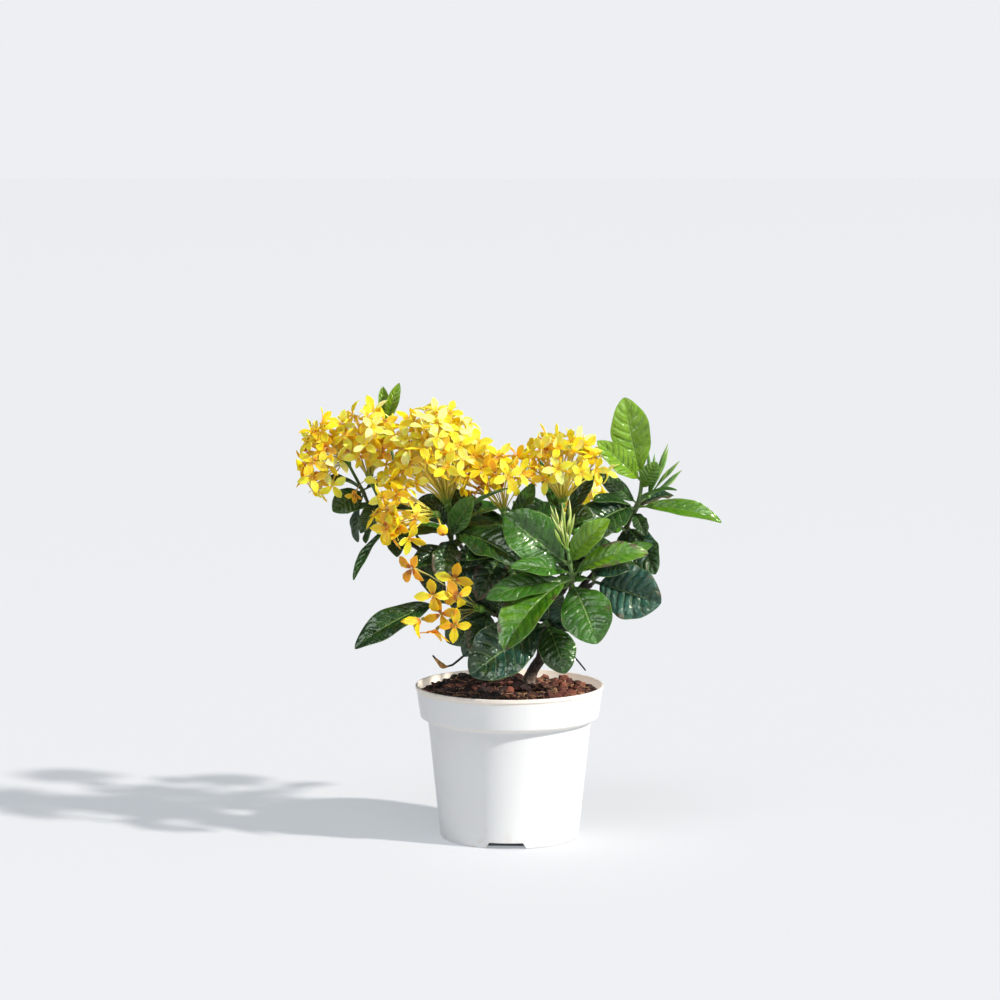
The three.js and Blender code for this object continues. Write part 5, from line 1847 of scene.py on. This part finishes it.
# %% All heads
for name, (stalk, _, _, _, seed, _, warmth) in HEADS.items():
    base, dome, half = dome_of(name)
    axis = knot_of(stalk)[1]
    look = np.random.default_rng([seed, 1])
    grown = []
    for number, (heart, facing, roll, size) in enumerate(placed[name]):
        outward = (heart - dome) / half
        # a floret's warmth carries painted shade deep in the head and painted sunlight on its sunny side
        # and top
        form, warm = FRESH, warmth + PAINTED_DEEP_SHADE * (1 - np.linalg.norm(outward)) - PAINTED_SUNLIGHT @ outward
        if name == "low":
            form, sunk, facing, warm = LOW_HEAD[number]
            heart, size = heart + sunk, size * LOW_SIZE
        grown += floret(base, axis, heart, facing, roll, size, warm, look, form)
    for head, heart, facing, size, form, warm in LONE_FLORETS:
        if head == name:
            grown += floret(base, axis, np.array(heart, float), facing, 0, size, warm, look, form)
    head, heart, radius, warm = CLOSED_BUD
    if head == name:
        grown += closed_bud(base, np.array(heart, float), radius, warm)
    grown.append(grown_knot(stalk, [1.2, 2.2, 3.0, 2.8, 1.2], 0.3))
    dress(join(f"flowers_{name}", grown), "petal", f"head_{name}")
print(f"{sum(len(standing) for standing in placed.values())} florets")

# %% [markdown]
# ## Bud clusters
# Young heads are bunches of slim green buds: a thin tube that swells into a pointed tip where
# the petals are still folded. Each is a rod laid along a slightly bent route.

# %% Buds on their stalks
BUDS = {
    # name: stalk, tips, radius, more buds, tone
    "far_right": ("far_right_buds", [[125, -5, 315], [134, -12, 302], [136, -6, 294], [109, -8, 311],
                  [115, 6, 306], [126, 8, 310], [132, 4, 286], [120, -14, 298]], 1.6, 5, 0.3),
    "front": ("front", [[31, -66, 273], [24, -62, 262], [40, -70, 275], [46, -58, 277], [35, -56, 270],
              [20, -64, 250], [50, -66, 266], [28, -72, 256]], 1.3, 9, 0.72),
}
BUD_KNOT = 0.45          # size of a cluster's knot, as a share of a head's
BUD_START = 0.04         # where a bud's tube starts, as a share of its way from the knot's middle
BUD_BEND = 1.6           # mm
BUD_RINGS = [0.34, 0.32, 0.36, 0.45, 0.75, 1.0, 0.95, 0.55, 0.08]


def bud(root, tip, radius, tone, look):
    """A slim tube that swells into a pointed bud."""
    bend = unit(np.cross(tip - root, look.normal(size=3))) * look.uniform(0, BUD_BEND)
    shares = np.linspace(0, 1, len(BUD_RINGS))
    route = [root + (tip - root) * t + bend * math.sin(math.pi * t) for t in shares]
    radii = [radius * share for share in BUD_RINGS]
    return painted(laid_along("bud", route, radii, (tone + look.normal(0, 0.06), 0, 0)), bud_paint)


for name, (stalk, tips, radius, more, tone) in BUDS.items():
    base = knot_of(stalk, BUD_KNOT)[2]
    look = np.random.default_rng([7, len(name)])
    grown = []
    ends = []
    for tip in np.array(tips, float):
        root = base + (tip - base) * BUD_START
        end = standing_end(f"buds_{name}", root, tip, lambda end: [end])
        if end is not None:
            ends.append(end)
            grown.append(bud(root, end, radius, tone, look))
    for _ in range(more):
        first, second = look.choice(len(ends), 2, replace=False)
        share = look.uniform(0.3, 0.7)
        tip = ends[first] * share + ends[second] * (1 - share)
        tip = base + (tip - base) * look.uniform(0.55, 0.98)
        grown.append(bud(base, tip, radius * 0.8, tone + 0.1, look))
    grown.append(grown_knot(stalk, [1.0, 1.5, 1.9, 1.6, 0.8], 0.25, BUD_KNOT))
    print(f"{name}: {len(ends)} buds of {len(tips)} found")
    dress(join(f"young_buds_{name}", grown), "bud", f"buds_{name}")

# %% [markdown]
# ## Handing over
# The templates have done their work. The finished plant's box is printed beside the imported
# model's box. The finish may not make the plant larger.

# %% Put the templates away, measure, and finish
put_away(*rods.values(), flat_leaf, star)
visual_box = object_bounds()
boxes = {"cad": [list(corner) for corner in cad_box], "visual": [list(corner) for corner in visual_box]}
for name, box in boxes.items():
    print(name, [[round(c / MM, 1) for c in corner] for corner in box])
